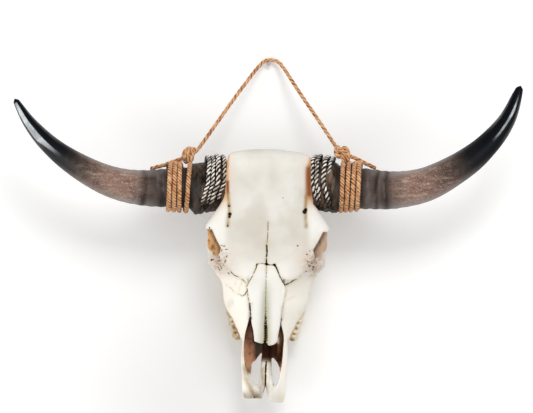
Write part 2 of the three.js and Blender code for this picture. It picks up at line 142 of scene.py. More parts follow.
def monotone(x, knots, values):
    """Values at x of a smooth curve through the knots that never overshoots them."""
    knots, values = np.asarray(knots, float), np.asarray(values, float)
    if knots[0] > knots[-1]:
        knots, values = knots[::-1], values[::-1]
    step = np.diff(knots)
    slope = np.diff(values) / step
    tangent = np.concatenate([slope[:1], np.zeros(len(knots) - 2), slope[-1:]])
    same_way = slope[:-1] * slope[1:] > 0
    before, after = 2 * step[1:] + step[:-1], step[1:] + 2 * step[:-1]
    with np.errstate(divide="ignore", invalid="ignore"):
        mean = (before + after) / (before / slope[:-1] + after / slope[1:])
    tangent[1:-1] = np.where(same_way, mean, 0)
    x = np.clip(x, knots[0], knots[-1])
    i = np.clip(np.searchsorted(knots, x) - 1, 0, len(step) - 1)
    t = (x - knots[i]) / step[i]
    return (
        (1 + 2 * t) * (1 - t) ** 2 * values[i]
        + t * (1 - t) ** 2 * step[i] * tangent[i]
        + t * t * (3 - 2 * t) * values[i + 1]
        + t * t * (t - 1) * step[i] * tangent[i + 1]
    )


def between(t, low, high, first, second):
    """The straight blend from first at low to second at high."""
    return ((high - t) * first + (t - low) * second) / (high - low)


def even_curve(knots, spacing, closed=False):
    """Points a given distance apart along a smooth curve through the knots (centripetal Catmull-Rom)."""
    knots = np.asarray(knots, float)
    if closed:
        padded = np.vstack([knots[-1], knots, knots[:2]])
    else:
        padded = np.vstack([2 * knots[0] - knots[1], knots, 2 * knots[-1] - knots[-2]])
    dense = []
    for p0, p1, p2, p3 in zip(padded, padded[1:], padded[2:], padded[3:]):
        t0 = 0.0
        t1 = t0 + np.linalg.norm(p1 - p0) ** 0.5
        t2 = t1 + np.linalg.norm(p2 - p1) ** 0.5
        t3 = t2 + np.linalg.norm(p3 - p2) ** 0.5
        t = np.linspace(t1, t2, CURVE_SAMPLES, endpoint=False)[:, None]
        a1 = between(t, t0, t1, p0, p1)
        a2 = between(t, t1, t2, p1, p2)
        a3 = between(t, t2, t3, p2, p3)
        b1 = between(t, t0, t2, a1, a2)
        b2 = between(t, t1, t3, a2, a3)
        dense.append(between(t, t1, t2, b1, b2))
    dense = np.vstack([*dense, knots[:1] if closed else knots[-1:]])
    along = np.concatenate([[0], np.cumsum(np.linalg.norm(np.diff(dense, axis=0), axis=1))])
    count = max(4, round(along[-1] / spacing))
    wanted = np.linspace(0, along[-1], count + 1)[: count if closed else count + 1]
    return np.stack([np.interp(wanted, along, axis) for axis in dense.T], -1), along[-1]


def carried_frames(path, closed):
    """Two normals at each point of a path that turn with it as little as they can."""
    ahead = np.roll(path, -1, 0) - np.roll(path, 1, 0)
    if not closed:
        ahead[0], ahead[-1] = path[1] - path[0], path[-1] - path[-2]
    ahead /= np.linalg.norm(ahead, axis=1)[:, None]
    start = np.cross(ahead[0], [0.3, 0.2, 0.93])
    normals = [start / np.linalg.norm(start)]
    for direction in ahead[1:]:
        normal = normals[-1] - direction * (normals[-1] @ direction)
        normals.append(normal / np.linalg.norm(normal))
    normals = np.array(normals)
    if closed:  # what the normals have turned by in one round is taken out again, little by little
        left_over = math.atan2(np.cross(normals[-1], normals[0]) @ ahead[0], normals[-1] @ normals[0])
        turn = left_over * np.arange(len(path))[:, None] / len(path)
        normals = normals * np.cos(turn) + np.cross(ahead, normals) * np.sin(turn)
    return normals, np.cross(ahead, normals)


def grid_faces(rows, columns, closed_rows=False):
    """Quads between rings of points, each ring closed on itself."""
    row = np.arange(rows if closed_rows else rows - 1)[:, None]
    column = np.arange(columns)[None]
    following, beside = (row + 1) % rows, (column + 1) % columns
    quad = [(row, column), (row, beside), (following, beside), (following, column)]
    return np.stack(np.broadcast_arrays(*(a * columns + b for a, b in quad)), -1).reshape(-1, 4)


def closed_faces(rows, columns):
    """Triangles of a tube of rings, closed by two more points: one at its start, then one at its end."""
    quads = grid_faces(rows, columns)
    ring = np.arange(columns)
    beside = np.roll(ring, -1)
    last_ring = (rows - 1) * columns
    start = np.stack([beside, ring, np.full(columns, rows * columns)], -1)
    end = np.stack([last_ring + ring, last_ring + beside, np.full(columns, rows * columns + 1)], -1)
    return np.vstack([quads[:, [0, 1, 2]], quads[:, [0, 2, 3]], start, end])


def tube(path, radii, sides, closed=False):
    """Rings round a path. radii is one number a ring, or one a point."""
    normals, binormals = carried_frames(path, closed)
    angle = np.arange(sides) * 2 * math.pi / sides
    radii = np.broadcast_to(radii.reshape(len(path), -1), (len(path), sides))
    out = normals[:, None] * np.cos(angle)[None, :, None] + binormals[:, None] * np.sin(angle)[None, :, None]
    return path[:, None] + out * radii[..., None]


# ---------------------------------------------------------------- ropes

STRANDS = 3
ROPE_SIDES = 18
ROPE_STEP = 0.62  # between the rings of a rope of CORD_RADIUS
SPIN_STRETCH = 0.35  # how fast the fibres' pattern runs along a rope, against round it
# As shares of the rope's radius: a strand's own radius, how far out its middle is, and where strands meet.
STRAND_SIZE, STRAND_CENTRE, STRANDS_MEET = 0.464, 0.536, 0.27


def strand_profile(angle, valley):
    """How far out a three-stranded rope reaches at an angle from a strand's crest, from valley to 1."""
    step = 2 * math.pi / STRANDS
    off = (angle + step / 2) % step - step / 2
    reach = STRAND_CENTRE * np.cos(off)
    reach = reach + np.sqrt(np.maximum(STRAND_SIZE**2 - (STRAND_CENTRE * np.sin(off)) ** 2, 0))
    return valley + (1 - valley) * (reach - STRANDS_MEET) / (1 - STRANDS_MEET)


def rope(name, knots, radius, lay, material, valley=0.72, closed=False, place=horn_frame, middle=None):
    """A laid rope along a curve through knots, in the frame that place reads.

    middle gives the point of a horn's axis nearest a point of the rope, for one that is wound round it.
    """
    path, length = even_curve(knots, ROPE_STEP * radius / CORD_RADIUS, closed)
    turns = length / lay
    if closed:  # a whole number of strands, so that the rope meets itself
        turns = round(turns * STRANDS) / STRANDS
    count = len(path)
    share = np.arange(count) / (count if closed else count - 1)
    angle = np.arange(ROPE_SIDES) * 2 * math.pi / ROPE_SIDES
    phase = angle[None] - share[:, None] * turns * 2 * math.pi
    profile = strand_profile(phase, valley)
    radii = radius * profile
    if not closed:
        ends = np.minimum(share, 1 - share) * length / radius
        taper = np.sqrt(np.clip(1 - (1 - np.clip(ends, 0.02, 1)) ** 2, 0, 1))
        radii = radii * (0.25 + 0.75 * taper)[:, None]
    points = tube(path, radii, ROPE_SIDES, closed)
    outer = np.ones((count, ROPE_SIDES))
    if middle is not None:  # how far each place of the rope faces away from the horn
        away = path - np.array([middle(point) for point in path])
        away /= np.linalg.norm(away, axis=1)[:, None]
        outward = points - path[:, None]
        outer = (outward * away[:, None]).sum(-1) / np.linalg.norm(outward, axis=-1)
    points = points.reshape(-1, 3)
    # crest is high on the strands' crests, and low in the valleys and on the side against the horn, where the
    # materials paint shade.
    crest = smoothstep(valley, 1, profile).ravel() * smoothstep(-0.1, 0.75, outer).ravel()
    along = np.repeat(share * length, ROPE_SIDES)
    phase = phase.ravel()
    spin = np.stack([np.cos(phase) * radius, np.sin(phase) * radius, along * SPIN_STRETCH], -1)
    if closed:
        faces = grid_faces(count, ROPE_SIDES, True)
    else:
        faces = closed_faces(count, ROPE_SIDES)
        points = np.vstack([points, path[:1], path[-1:]])
        crest = np.append(crest, [0.5, 0.5])
        spin = np.vstack([spin, [0, 0, 0], [0, 0, length * SPIN_STRETCH]])
    piece = make_piece(name, place(points), faces, material, {"crest": crest, "spin": spin})
    return piece, place(path), length / METRE


# ---------------------------------------------------------------- the distance field

FAR_AWAY = 30
SETTLE_ROUNDS = 3


def interpolate(grid, base, t):
    """A grid's values at shares t of the way on from the samples at base. The grid repeats itself."""
    total = 0
    for corner in np.ndindex(2, 2, 2):
        weight = np.prod(np.where(corner, t, 1 - t), axis=-1)
        i, j, k = np.moveaxis((base + corner) % grid.shape, -1, 0)
        total = total + weight * grid[i, j, k]
    return total


class Volume:
    """A distance field over a box of x, depth and z, negative inside. Shapes blend into it softly."""

    def __init__(self, low, high, step):
        self.low, self.step = np.asarray(low, float), step
        counts = np.ceil((np.asarray(high) - self.low) / step).astype(int) + 1
        self.axes = [self.low[i] + step * np.arange(counts[i]) for i in range(3)]
        self.field = np.full(tuple(counts), FAR_AWAY, np.float32)

    def window(self, low, high, room):
        spans = []
        for axis, first, last in zip(self.axes, low, high):
            start = int(np.searchsorted(axis, first - room))
            stop = int(np.searchsorted(axis, last + room))
            spans.append(slice(start, max(stop, start)))
        return tuple(spans), self.places(spans)

    def places(self, spans):
        """x, depth and z over a part of the box, each along its own axis of the grid."""
        x, depth, z = (axis[span].astype(np.float32) for axis, span in zip(self.axes, spans))
        return x[:, None, None], depth[None, :, None], z[None, None, :]

    def add(self, shape, blend=0.0, sign=1):
        """Joins a shape to what is there, or with a sign of -1 cuts it away."""
        distance, low, high = shape
        spans, where = self.window(low, high, 3 + 2 * blend)
        self.field[spans] = sign * smooth_min(sign * self.field[spans], distance(*where), blend)

    def carve(self, shape, blend=0.0):
        self.add(shape, blend, sign=-1)

    def keep(self, shape, blend):
        """Cuts away what lies outside a shape."""
        everywhere = self.places([slice(None)] * 3)
        self.field = -smooth_min(-self.field, -shape[0](*everywhere), blend)

    def at(self, points):
        """The field between its samples."""
        place = (points - self.low) / self.step
        base = np.clip(np.floor(place).astype(int), 0, np.array(self.field.shape) - 2)
        return interpolate(self.field, base, np.clip(place - base, 0, 1).astype(np.float32))

    def slope(self, points):
        sides = np.eye(3) * self.step
        across = [self.at(points + side) - self.at(points - side) for side in sides]
        return np.stack(across, -1) / (2 * self.step)


def smooth_min(a, b, blend):
    if not blend:
        return np.minimum(a, b)
    near = np.maximum(blend - np.abs(a - b), 0) / blend
    return np.minimum(a, b) - near * near * (blend / 4)


def oval_distance(across, half, up, reach, power):
    """About the distance to a superellipse, with its two half sizes."""
    u = np.maximum(across / half, 1e-4)
    v = np.maximum(up / reach, 1e-4)
    up_u, up_v = u**power, v**power
    total = up_u + up_v
    size = total ** (1 / power)
    slope_u = size / total * up_u / u / half
    slope_v = size / total * up_v / v / reach
    return (size - 1) / np.sqrt(slope_u**2 + slope_v**2 + 1e-6)


def read_stations(table, place):
    """The columns of a table at a place between its stations, which the first column gives."""
    return (monotone(place, table[:, 0], column).astype(np.float32) for column in table.T[1:])


def cut_ends(shape, table, place, rounding):
    """The shape as far as the table's first and last stations, with rounded edges."""
    ends = np.maximum(place - table[:, 0].max(), table[:, 0].min() - place)
    return -smooth_min(-shape, -ends + 0 * shape, rounding)


def level_loft(stations, front, back, rounding):
    """A body over level slices. Each is [z, half width, front depth, depth where widest, back depth]."""
    table = np.array(stations, float)

    def distance(x, depth, z):
        half, near, wide, far = read_stations(table, z)
        x = np.abs(x)
        shape = np.where(
            depth > wide,
            oval_distance(x, half, np.abs(depth - wide), near - wide, front),
            oval_distance(x, half, np.abs(depth - wide), wide - far, back),
        )
        return cut_ends(shape, table, z, rounding)

    low, high = table.min(0), table.max(0)
    return distance, (-high[1], low[4], low[0]), (high[1], high[2], high[0])


def upright_loft(stations, power, rounding):
    """A body over upright slices that face the wall. Each is [depth, half width, top z, bottom z]."""
    table = np.array(stations, float)

    def distance(x, depth, z):
        half, top, bottom = read_stations(table, depth)
        shape = oval_distance(np.abs(x), half, np.abs(z - (top + bottom) / 2), (top - bottom) / 2, power)
        return cut_ends(shape, table, depth, rounding)

    low, high = table.min(0), table.max(0)
    return distance, (-high[1], low[0], low[3]), (high[1], high[0], high[2])


def ellipsoid(centre, radii, tilt=(0, 0, 0)):
    """An ellipsoid that tilt turns, in radians, about x, then depth, then z."""
    turn = np.eye(3)
    for axis, angle in enumerate(tilt):
        c, s = math.cos(angle), math.sin(angle)
        i, j = [(1, 2), (2, 0), (0, 1)][axis]
        step = np.eye(3)
        step[i, i] = step[j, j] = c
        step[i, j], step[j, i] = -s, s
        turn = step @ turn

    def distance(x, depth, z):
        offset = (x - centre[0], depth - centre[1], z - centre[2])
        local = [sum(turn[j, i] * offset[j] for j in range(3)) for i in range(3)]
        k0 = np.sqrt(sum((c / r) ** 2 for c, r in zip(local, radii)))
        k1 = np.sqrt(sum((c / r**2) ** 2 for c, r in zip(local, radii))) + 1e-6
        return (k0 * (k0 - 1) / k1).astype(np.float32)

    reach = max(radii)
    return distance, np.array(centre) - reach, np.array(centre) + reach


def bar(knots, radii, flatten=(1, 1, 1)):
    """A rod along a curve, with a radius at each knot. flatten squeezes the distance along each axis."""
    path, _ = even_curve(knots, 3.0)
    share = np.linspace(0, 1, len(path))
    sizes = monotone(share, np.linspace(0, 1, len(radii)), radii)
    squeeze = np.asarray(flatten, float)

    def distance(x, depth, z):
        best = None
        for a, b, ra, rb in zip(path, path[1:], sizes, sizes[1:]):
            side = (b - a) / squeeze
            px, py, pz = (c / s - p / s for c, p, s in zip((x, depth, z), a, squeeze))
            t = np.clip((px * side[0] + py * side[1] + pz * side[2]) / (side @ side), 0, 1)
            gap = np.sqrt((px - side[0] * t) ** 2 + (py - side[1] * t) ** 2 + (pz - side[2] * t) ** 2)
            gap = (gap - (ra + (rb - ra) * t)).astype(np.float32)
            best = gap if best is None else np.minimum(best, gap)
        return best * float(squeeze.min())

    reach = max(radii) * max(flatten)
    return distance, path.min(0) - reach, path.max(0) + reach


def line_distance(x, z, knots):
    """The distance to an open line of [x, z] knots."""
    best = None
    knots = np.asarray(knots, float)
    for (ax, az), (bx, bz) in zip(knots, knots[1:]):
        ex, ez = bx - ax, bz - az
        t = np.clip(((x - ax) * ex + (z - az) * ez) / (ex * ex + ez * ez), 0, 1)
        gap = (x - ax - ex * t) ** 2 + (z - az - ez * t) ** 2
        best = gap if best is None else np.minimum(best, gap)
    return np.sqrt(best)


def outline_distance(x, z, corners):
    """The distance to a closed outline in the x-z plane, negative inside."""
    inside = False
    corners = np.vstack([corners, corners[:1]])
    for (ax, az), (bx, bz) in zip(corners, corners[1:]):
        inside = inside ^ (((az > z) != (bz > z)) & (x < (z - az) * (bx - ax) / ((bz - az) or 1e-9) + ax))
    return np.where(inside, -1, 1) * line_distance(x, z, corners)


def plate(corners, back, front, grow=0.0):
    """An upright plate: an outline of [x, z] corners, swollen by grow, through a span of depths."""
    corners = np.asarray(corners, float)

    def distance(x, depth, z):
        across = outline_distance(x, z, corners) - grow
        through = np.abs(depth - (front + back) / 2) - (front - back) / 2
        return np.maximum(across, through).astype(np.float32)

    (x0, z0), (x1, z1) = corners.min(0) - grow, corners.max(0) + grow
    return distance, (x0, back, z0), (x1, front, z1)


def skin(volume):
    """Surface nets: (points, quads) of the volume's zero level, facing out."""
    field = volume.field
    inside = field < 0
    count = np.zeros([size - 1 for size in inside.shape], np.int8)
    for corner in np.ndindex(2, 2, 2):
        count += inside[tuple(slice(first, first + size) for first, size in zip(corner, count.shape))]
    cells = np.argwhere((count > 0) & (count < 8))
    number = np.full(count.shape, -1, np.int32)
    number[tuple(cells.T)] = np.arange(len(cells))
    corner = {c: field[tuple((cells + c).T)] for c in np.ndindex(2, 2, 2)}
    total, crossings = np.zeros((len(cells), 3)), np.zeros(len(cells))
    for c in corner:
        for axis in range(3):
            if c[axis]:
                continue
            other = tuple(v + (i == axis) for i, v in enumerate(c))
            a, b = corner[c], corner[other]
            crossed = (a < 0) != (b < 0)
            t = np.where(crossed, a / np.where(crossed, a - b, 1), 0)
            place = np.array(c, float) + np.eye(3)[axis] * t[:, None]
            total += place * crossed[:, None]
            crossings += crossed
    points = volume.low + volume.step * (cells + total / crossings[:, None])
    quads = []
    for axis in range(3):
        a, b = [i for i in range(3) if i != axis]
        first = tuple(slice(1, -1) if i in (a, b) else slice(None, -1) for i in range(3))
        second = tuple(slice(1, -1) if i in (a, b) else slice(1, None) for i in range(3))
        changed = np.argwhere(inside[first] != inside[second])
        leaves = inside[first][tuple(changed.T)]
        changed = changed + [i in (a, b) for i in range(3)]
        ring = []
        for da, db in ((0, 0), (1, 0), (1, 1), (0, 1)):
            cell = changed.copy()
            cell[:, a] -= da
            cell[:, b] -= db
            ring.append(number[tuple(cell.T)])
        ring = np.stack(ring, -1)
        outward = leaves if axis != 1 else ~leaves
        quads.append(np.where(outward[:, None], ring, ring[:, ::-1]))
    return settle(volume, points), np.vstack(quads)


def settle(volume, points):
    """Moves the points onto the zero level along the slope of the field."""
    for _ in range(SETTLE_ROUNDS):
        slope = volume.slope(points)
        steep = np.maximum((slope**2).sum(1), 0.2)
        move = volume.at(points)[:, None] * slope / steep[:, None]
        points = points - np.clip(move, -0.4 * volume.step, 0.4 * volume.step)
    return points


def lumps(points, size, seed):
    """Smooth seeded noise from -1 to 1, with lumps of about the given size in millimetres."""
    lattice = np.random.default_rng(seed).uniform(-1, 1, (32, 32, 32)).astype(np.float32)
    place = points / size
    base = np.floor(place).astype(int)
    return interpolate(lattice, base, smoothstep(0, 1, place - base))


# ---------------------------------------------------------------- the skull

FOREHEAD = [
    [-88, 33, 71, 58, 46], [-73, 42.5, 76, 64, 48], [-62, 48.5, 80, 68, 52], [-50, 54.5, 84, 71, 56],
    [-41, 58.2, 86, 72, 58], [-35, 55.5, 87.5, 71, 55], [-28, 51, 89, 70, 50], [-20, 45.5, 90, 69, 46],
    [-9, 41, 90, 67, 42], [8, 40, 89, 66, 42], [22, 39.5, 87, 66, 43], [27, 38.6, 84.5, 66, 45],
    [30.2, 34.5, 82.5, 66, 46], [31.8, 28, 80.5, 66, 48], [33.6, 16, 77, 66, 52],
]
BRAINCASE = [[76, 32, 30, -70], [60, 37, 31, -76], [44, 36, 25, -74], [30, 32, 15, -70], [19, 25, 7, -64],
             [12, 17, 1, -58]]
CHEEKS = [
    [-151, 19, 49, 28, 17], [-146, 22.6, 52.5, 26, 13], [-141, 25, 54.5, 25, 12],
    [-135, 27.8, 56.5, 24, 11], [-128, 31, 58.6, 24, 10.5], [-123, 34.2, 60.2, 24, 10],
    [-119, 36.8, 61.4, 24.5, 10], [-112, 39.8, 63, 25, 10], [-97.5, 41.4, 67, 28, 11],
    [-83, 45.5, 71, 34, 14], [-78, 49.5, 73, 38, 16], [-73, 53.4, 74, 41, 18], [-60, 52.5, 73, 42, 22],
    [-52, 44, 68, 44, 28],
]
SNOUT = [
    [-203.6, 18.5, 32, 27, 23.5], [-198, 20.3, 35.5, 28, 22], [-187, 21, 38.5, 29, 21],
    [-175, 21.8, 41.5, 30, 19.5], [-165, 22, 44.5, 31, 18.5], [-154, 21.6, 48, 33, 17.5],
    [-142, 20.4, 51.5, 35, 16], [-130, 18.6, 55, 36, 15],
]
# The roof of the nose: z, half width, front. The two nasal bones are what of it lies in NASAL_OUTLINE.
NASAL_ROOF = [[-163, 12, 50.5], [-151, 13.4, 53.5], [-137, 15.4, 58], [-121, 17.5, 63.5], [-99, 21, 70],
              [-88, 19.5, 72.6], [-72, 16, 76.4]]
NASAL_THICKNESS = 6.5
NASAL_OUTLINE = [
    (-9.1, -75.1), (-9.8, -78.6), (-12.4, -85.2), (-16, -91.4), (-18.1, -96.1), (-17.4, -102.3),
    (-15.8, -110.8), (-14.8, -118.4), (-13.9, -126.9), (-12.5, -132.6), (-11.2, -138.3), (-10.6, -143.9),
    (-10.4, -148.4), (-7, -150.6), (-3.6, -153.8), (-1.4, -157), (0.4, -156), (2.4, -157.4), (4.6, -158),
    (6.6, -153.4), (9.4, -151.4), (12.3, -148), (12.4, -143), (13.5, -136.4), (14.8, -127.8),
    (15.8, -117.4), (17.8, -107), (18.8, -99.4), (17.5, -94.5), (13, -86.7), (9.5, -78.6), (7.6, -75.4),
    (3, -75.6), (-0.3, -74.8), (-4.6, -74.4),
]
# The opening of the nose: z, the left and right rims, and the depth of its floor.
NASAL_OPENING = [
    [-195, 6.5, 12, 35], [-189.4, 12.3, 14.3, 30], [-182.8, 15.8, 15.5, 27.5], [-175, 18.2, 16.3, 26.5],
    [-166, 19.7, 16.8, 26], [-158, 20, 17, 26], [-150.6, 19.8, 17.4, 26.5], [-144, 19, 17.4, 28],
    [-137, 17.4, 15.9, 30], [-132.6, 16.2, 14.8, 32], [-126, 14.6, 15, 36],
]
NOSE_MIDDLE = 2
NASAL_HOLLOW = [[-152, 14, 46, 38, 28], [-125, 12, 54, 44, 32], [-104, 9, 60, 50, 40]]
PALATE_VAULT = [
    [-152, 15, 17, 8, -10], [-140, 19, 17, 8, -10], [-120, 24, 17, 8, -10], [-100, 26.5, 17, 8, -10],
    [-80, 28, 20, 8, -10],
]
TOOTH_ROW = {"front": -147.5, "rear": -84, "teeth": 6}

# How each eye socket is cut from the front: the crisp edge of the forehead, its end, and open air.
SOCKET_OUTLINE = [
    (52.7, -43.6), (48.7, -52.1), (43.9, -60.6), (45.2, -65.3), (48.6, -69.4), (55, -70.6), (75, -72),
    (75, -43.6),
]
FISSURES = [
    [(-2.4, -159.4), (-3.9, -160.6), (-8.1, -166.9), (-10.7, -168.9), (-12, -171.4), (-12, -179),
     (-11.9, -183.7), (-9.6, -188.5), (-6.8, -190.3), (-4.8, -189.4), (-3.8, -179.9), (-3.2, -168.1)],
    [(7.6, -164.1), (6.8, -165.7), (7.1, -176), (8.1, -184.7), (9.4, -189.4), (11.4, -190.6),
     (13.2, -187.8), (14.8, -182.3), (15, -177.6), (14.1, -172.8), (11.6, -168.1), (9.2, -165.3)],
]
PRONG_NOTCH = [
    (-2.1, -206.4), (-0.9, -199.3), (0.7, -194.1), (1.7, -191.3), (3.1, -194.5), (3.4, -199.8),
    (2.8, -206.4),
]


def row_edge(z):
    """How far out the outer face of the tooth row is."""
    return 40.6 - 0.0029 * (z + 96) ** 2 - 0.055 * np.maximum(0, -z - 96)


def row_width(z):
    return 6.5 + 5 * (z - TOOTH_ROW["front"]) / (TOOTH_ROW["rear"] - TOOTH_ROW["front"])


def sculpt_half():
    """The symmetric shape of the skull, for x from just left of the middle outwards."""
    v = Volume((-2 * VOXEL, -2, -206), (66, 94, 38), VOXEL)
    v.add(level_loft(FOREHEAD, 3.2, 2.2, 5))
    v.add(upright_loft(BRAINCASE, 2.4, 4), 6)
    v.add(level_loft(CHEEKS, 1.6, 5, 3), 4)
    v.add(level_loft(SNOUT, 2.6, 3, 1.5), 3)
    v.add(bar([(0, 40, 4.5), (19, 40, 4.5), (54, 47, 0)], [21, 20.5, 20.2]), 7)

    # The arch, the bar behind the eye, and the bones round the foramen magnum.
    v.add(bar([(40, 30, -86), (50, 38, -74), (53.5, 39, -58), (51.5, 37, -46), (45, 34, -39), (30, 31, -35)],
              [5.5, 4.8, 3.6, 4, 4.6, 6]), 4)
    v.add(bar([(51, 75, -40), (53.6, 60, -42), (52.8, 46, -50), (52, 41, -58)], [5.2, 4.0, 4, 4]), 4)
    v.add(ellipsoid((11, 8.5, 0), (7.5, 7, 11), (0.3, 0, 0)), 2.5)
    v.add(bar([(25, 26, 0), (25.5, 14, -3), (23, 3.5, -8)], [6.5, 4.5, 2.4], (0.75, 1, 1)), 3)
    v.add(ellipsoid((22, 19, -24), (7, 9, 9)), 2)
    v.add(bar([(0, 16, -16), (0, 14, -38), (0, 17, -58)], [6, 6.5, 5]), 5)
    wing = [(15, 20, -104), (12.5, 14, -86), (12, 14, -70), (11, 20, -54)]
    v.add(bar(wing, [3, 2.6, 2.6, 3.4], (1, 2.4, 1)), 3)
    v.add(ridge_of_teeth(), 3)

    # Hollows.
    v.carve(EYE_SOCKET, 1.2)
    v.carve(plate(SOCKET_OUTLINE, 60, 100), 0.8)
    v.carve(SOCKET_POCKET, 4)
    v.carve(ellipsoid((47, 40, -22), (13, 22, 17), (0, 0.3, 0.2)), 5)
    v.carve(FORAMEN, 2)
    v.carve(THROAT, 3)
    v.carve(level_loft(PALATE_VAULT, 3, 4, 3), 3)
    return v


EYE_SOCKET = ellipsoid((60, 61, -58.5), (19.5, 18, 15.5), (0, 0.35, 0))
SOCKET_POCKET = ellipsoid((41, 58, -62), (8, 9, 8))
FORAMEN = ellipsoid((0, 14, 3), (7.5, 8, 17), (0.35, 0, 0))  # where the spine enters
THROAT = ellipsoid((0, 15, -80), (8.5, 10, 18), (0.15, 0, 0))  # where the nose opens behind the palate


def ridge_of_teeth():
    z = np.array([TOOTH_ROW["front"] + 2, -132, -118, -104, TOOTH_ROW["rear"] + 1.0])
    middle = row_edge(z) - row_width(z) / 2 - 1.2
    return bar([(x, 19, level) for x, level in zip(middle, z)], list(row_width(z) / 2 - 0.4))


def nasal_roof(extra=0.0):
    stations = [[z, half + extra, front + 8 * extra, front - 3.2, front - NASAL_THICKNESS - extra]
                for z, half, front in NASAL_ROOF]
    roof, low, high = level_loft(stations, 3.2, 4, 0.2)
    cut, _, _ = plate(NASAL_OUTLINE, 30, 100, extra)

    def distance(x, depth, z):
        return -smooth_min(-roof(x, depth, z), -cut(x, depth, z), 0.0 if extra else 1.6)

    return distance, low, high


def nasal_opening():
    """A trough that widens to its rims, which aren't alike on the two sides."""
    table = np.array(NASAL_OPENING)
    stations = [[z, (left + right) / 2, 80, 46, floor] for z, left, right, floor in NASAL_OPENING]
    trough, _, _ = level_loft(stations, 8, 2.3, 1.5)

    def distance(x, depth, z):
        shift = monotone(z, table[:, 0], (table[:, 2] - table[:, 1]) / 2).astype(np.float32)
        return trough(x - shift, depth, z)

    return distance, (-21, 24, -197), (20, 82, -124)


def nasal_hollow():
    return level_loft(NASAL_HOLLOW, 3, 3, 3)


def sculpt_skull():
    """The whole skull: the half and its mirror image, with the nose and the seams, which aren't symmetric."""
    half = sculpt_half()
    whole = Volume((0, 0, 0), (1, 1, 1), VOXEL)
    whole.low = np.array([-half.axes[0][-1], half.axes[1][0], half.axes[2][0]])
    middle = 2  # the plane x = 0 is the third of the half's
    whole.field = np.concatenate([half.field[middle + 1 :][::-1], half.field[middle:]])
    whole.axes = [whole.low[0] + VOXEL * np.arange(whole.field.shape[0]), half.axes[1], half.axes[2]]
    whole.carve(nasal_opening(), 0.8)
    whole.carve(nasal_hollow(), 2)
    whole.carve(nasal_roof(0.45))
    whole.add(bar([(2.3, 27, -197), (2, 28, -180), (2, 28, -164), (1.6, 29, -150)], [3.6, 4.2, 4.2, 3.8]), 2)
    for outline in FISSURES:
        whole.carve(plate(outline, 5, 42), 1.0)
    whole.carve(plate(PRONG_NOTCH, 5, 60), 1.2)
    whole.add(nasal_roof())
    engrave(whole)
    return whole


# ---------------------------------------------------------------- seams, grooves and pits of the front

# Each seam is a line of [x, z] knots on the front, with how dark, how deep and how wide it is.
SEAMS = [
    ([(0.5, -35), (0.5, -44.5), (0.1, -53), (-0.4, -58.7)], 0.6, 0.5, 0.6),
    ([(-0.4, -56.7), (0.1, -63.4), (-0.4, -69.1), (0, -75)], 1, 1.1, 0.8),
    ([(0, -75), (-0.1, -90), (0, -108.9), (0.5, -127.8)], 0.55, 0.7, 0.6),
    ([(0.5, -124.8), (0.9, -135)], 1, 1.2, 0.9),
    ([(0.9, -134), (1.1, -145), (0.9, -155)], 1, 2.4, 1.5),
    (NASAL_OUTLINE[0:5], 0.72, 0.8, 0.52),
    (NASAL_OUTLINE[4:8], 0.6, 0.6, 0.6),
    ([(-14.8, -113), (-14.5, -121), (-13.9, -127)], 1, 1.4, 0.95),
    (NASAL_OUTLINE[28:32], 0.88, 0.9, 0.6),
    (NASAL_OUTLINE[24:29], 0.42, 0.5, 0.6),
    (NASAL_OUTLINE[31:] + NASAL_OUTLINE[:1], 0.2, 0.15, 0.4),
    ([(-19.3, -92.8), (-23.2, -89.5), (-26.5, -87.6), (-30.4, -86.2), (-33.8, -83)], 0.66, 0.5, 0.62),
    ([(-17.7, -100.4), (-20, -104.4), (-22.8, -105.7), (-25.7, -104.2)], 0.7, 0.5, 0.6),
    ([(-25.7, -104.2), (-30, -103.2), (-33.6, -98.5), (-38.2, -95.6)], 0.45, 0.3, 0.6),
    ([(-22, -90.6), (-24.4, -96), (-25.6, -101)], 0.4, 0.2, 0.5),
    ([(-28, -89), (-29.4, -95)], 0.35, 0.2, 0.5),
    ([(18.6, -93.9), (22.3, -92.2), (26.1, -89.4), (29.8, -87.7), (32.6, -85.2)], 0.8, 0.6, 0.7),
    ([(18.9, -108.9), (23.6, -107), (28.3, -104.6)], 0.3, 0.2, 0.5),
    ([(1.6, -168), (1.4, -178), (1.5, -194)], 1, 1.8, 0.9),
    ([(6.6, -166), (6.6, -176), (7.4, -186), (9.2, -190.6)], 0.55, 0.4, 0.6),
    ([(-57, -43), (-52.7, -43.2), (-50.4, -48)], 0.4, 0.3, 0.5),
]
# The seams of the palate and of the floor of the braincase, behind.
BACK_SEAMS = [
    ([(0, -100), (0.4, -118), (-0.3, -140), (0.6, -160)], 0.55, 0, 0.5),
    ([(-22, -114), (-14, -110), (-6, -112), (0, -109), (7, -112), (14, -110), (22, -114)], 0.5, 0, 0.5),
    ([(-11, -34), (-4, -36), (4, -35), (11, -34)], 0.5, 0, 0.5),
    ([(-26, -160), (-18, -166), (-12, -160)], 0.4, 0, 0.5),
    ([(12, -160), (18, -166), (26, -160)], 0.4, 0, 0.5),
]
# Small holes: x, z, radius, depth.
PITS = [
    (-36.6, -20.6, 1.4, 2), (-35.8, -28.4, 1.9, 2.6), (-36, -31, 1.3, 1.8), (-37.5, -39.4, 0.9, 1.1),
    (35.5, -22.6, 1.7, 2.3), (34.6, -24.6, 2.2, 2.9), (29, -56.8, 0.8, 1), (-54.8, -41.7, 0.85, 1.2),
    (7.5, -75.3, 1.3, 1.4), (44.2, -76.7, 1.1, 1.4), (40.2, -75.4, 1.4, 0.8), (40.6, -61.6, 0.7, 1),
    (37.8, -64.9, 0.8, 0.8), (-52.4, -72.4, 1, 1.5), (-50.8, -71.8, 0.9, 1.3), (-8.6, -202, 1, 0.9),
    (-8.2, -31.6, 0.4, 0.3), (14, -12, 0.35, 0.3),
]
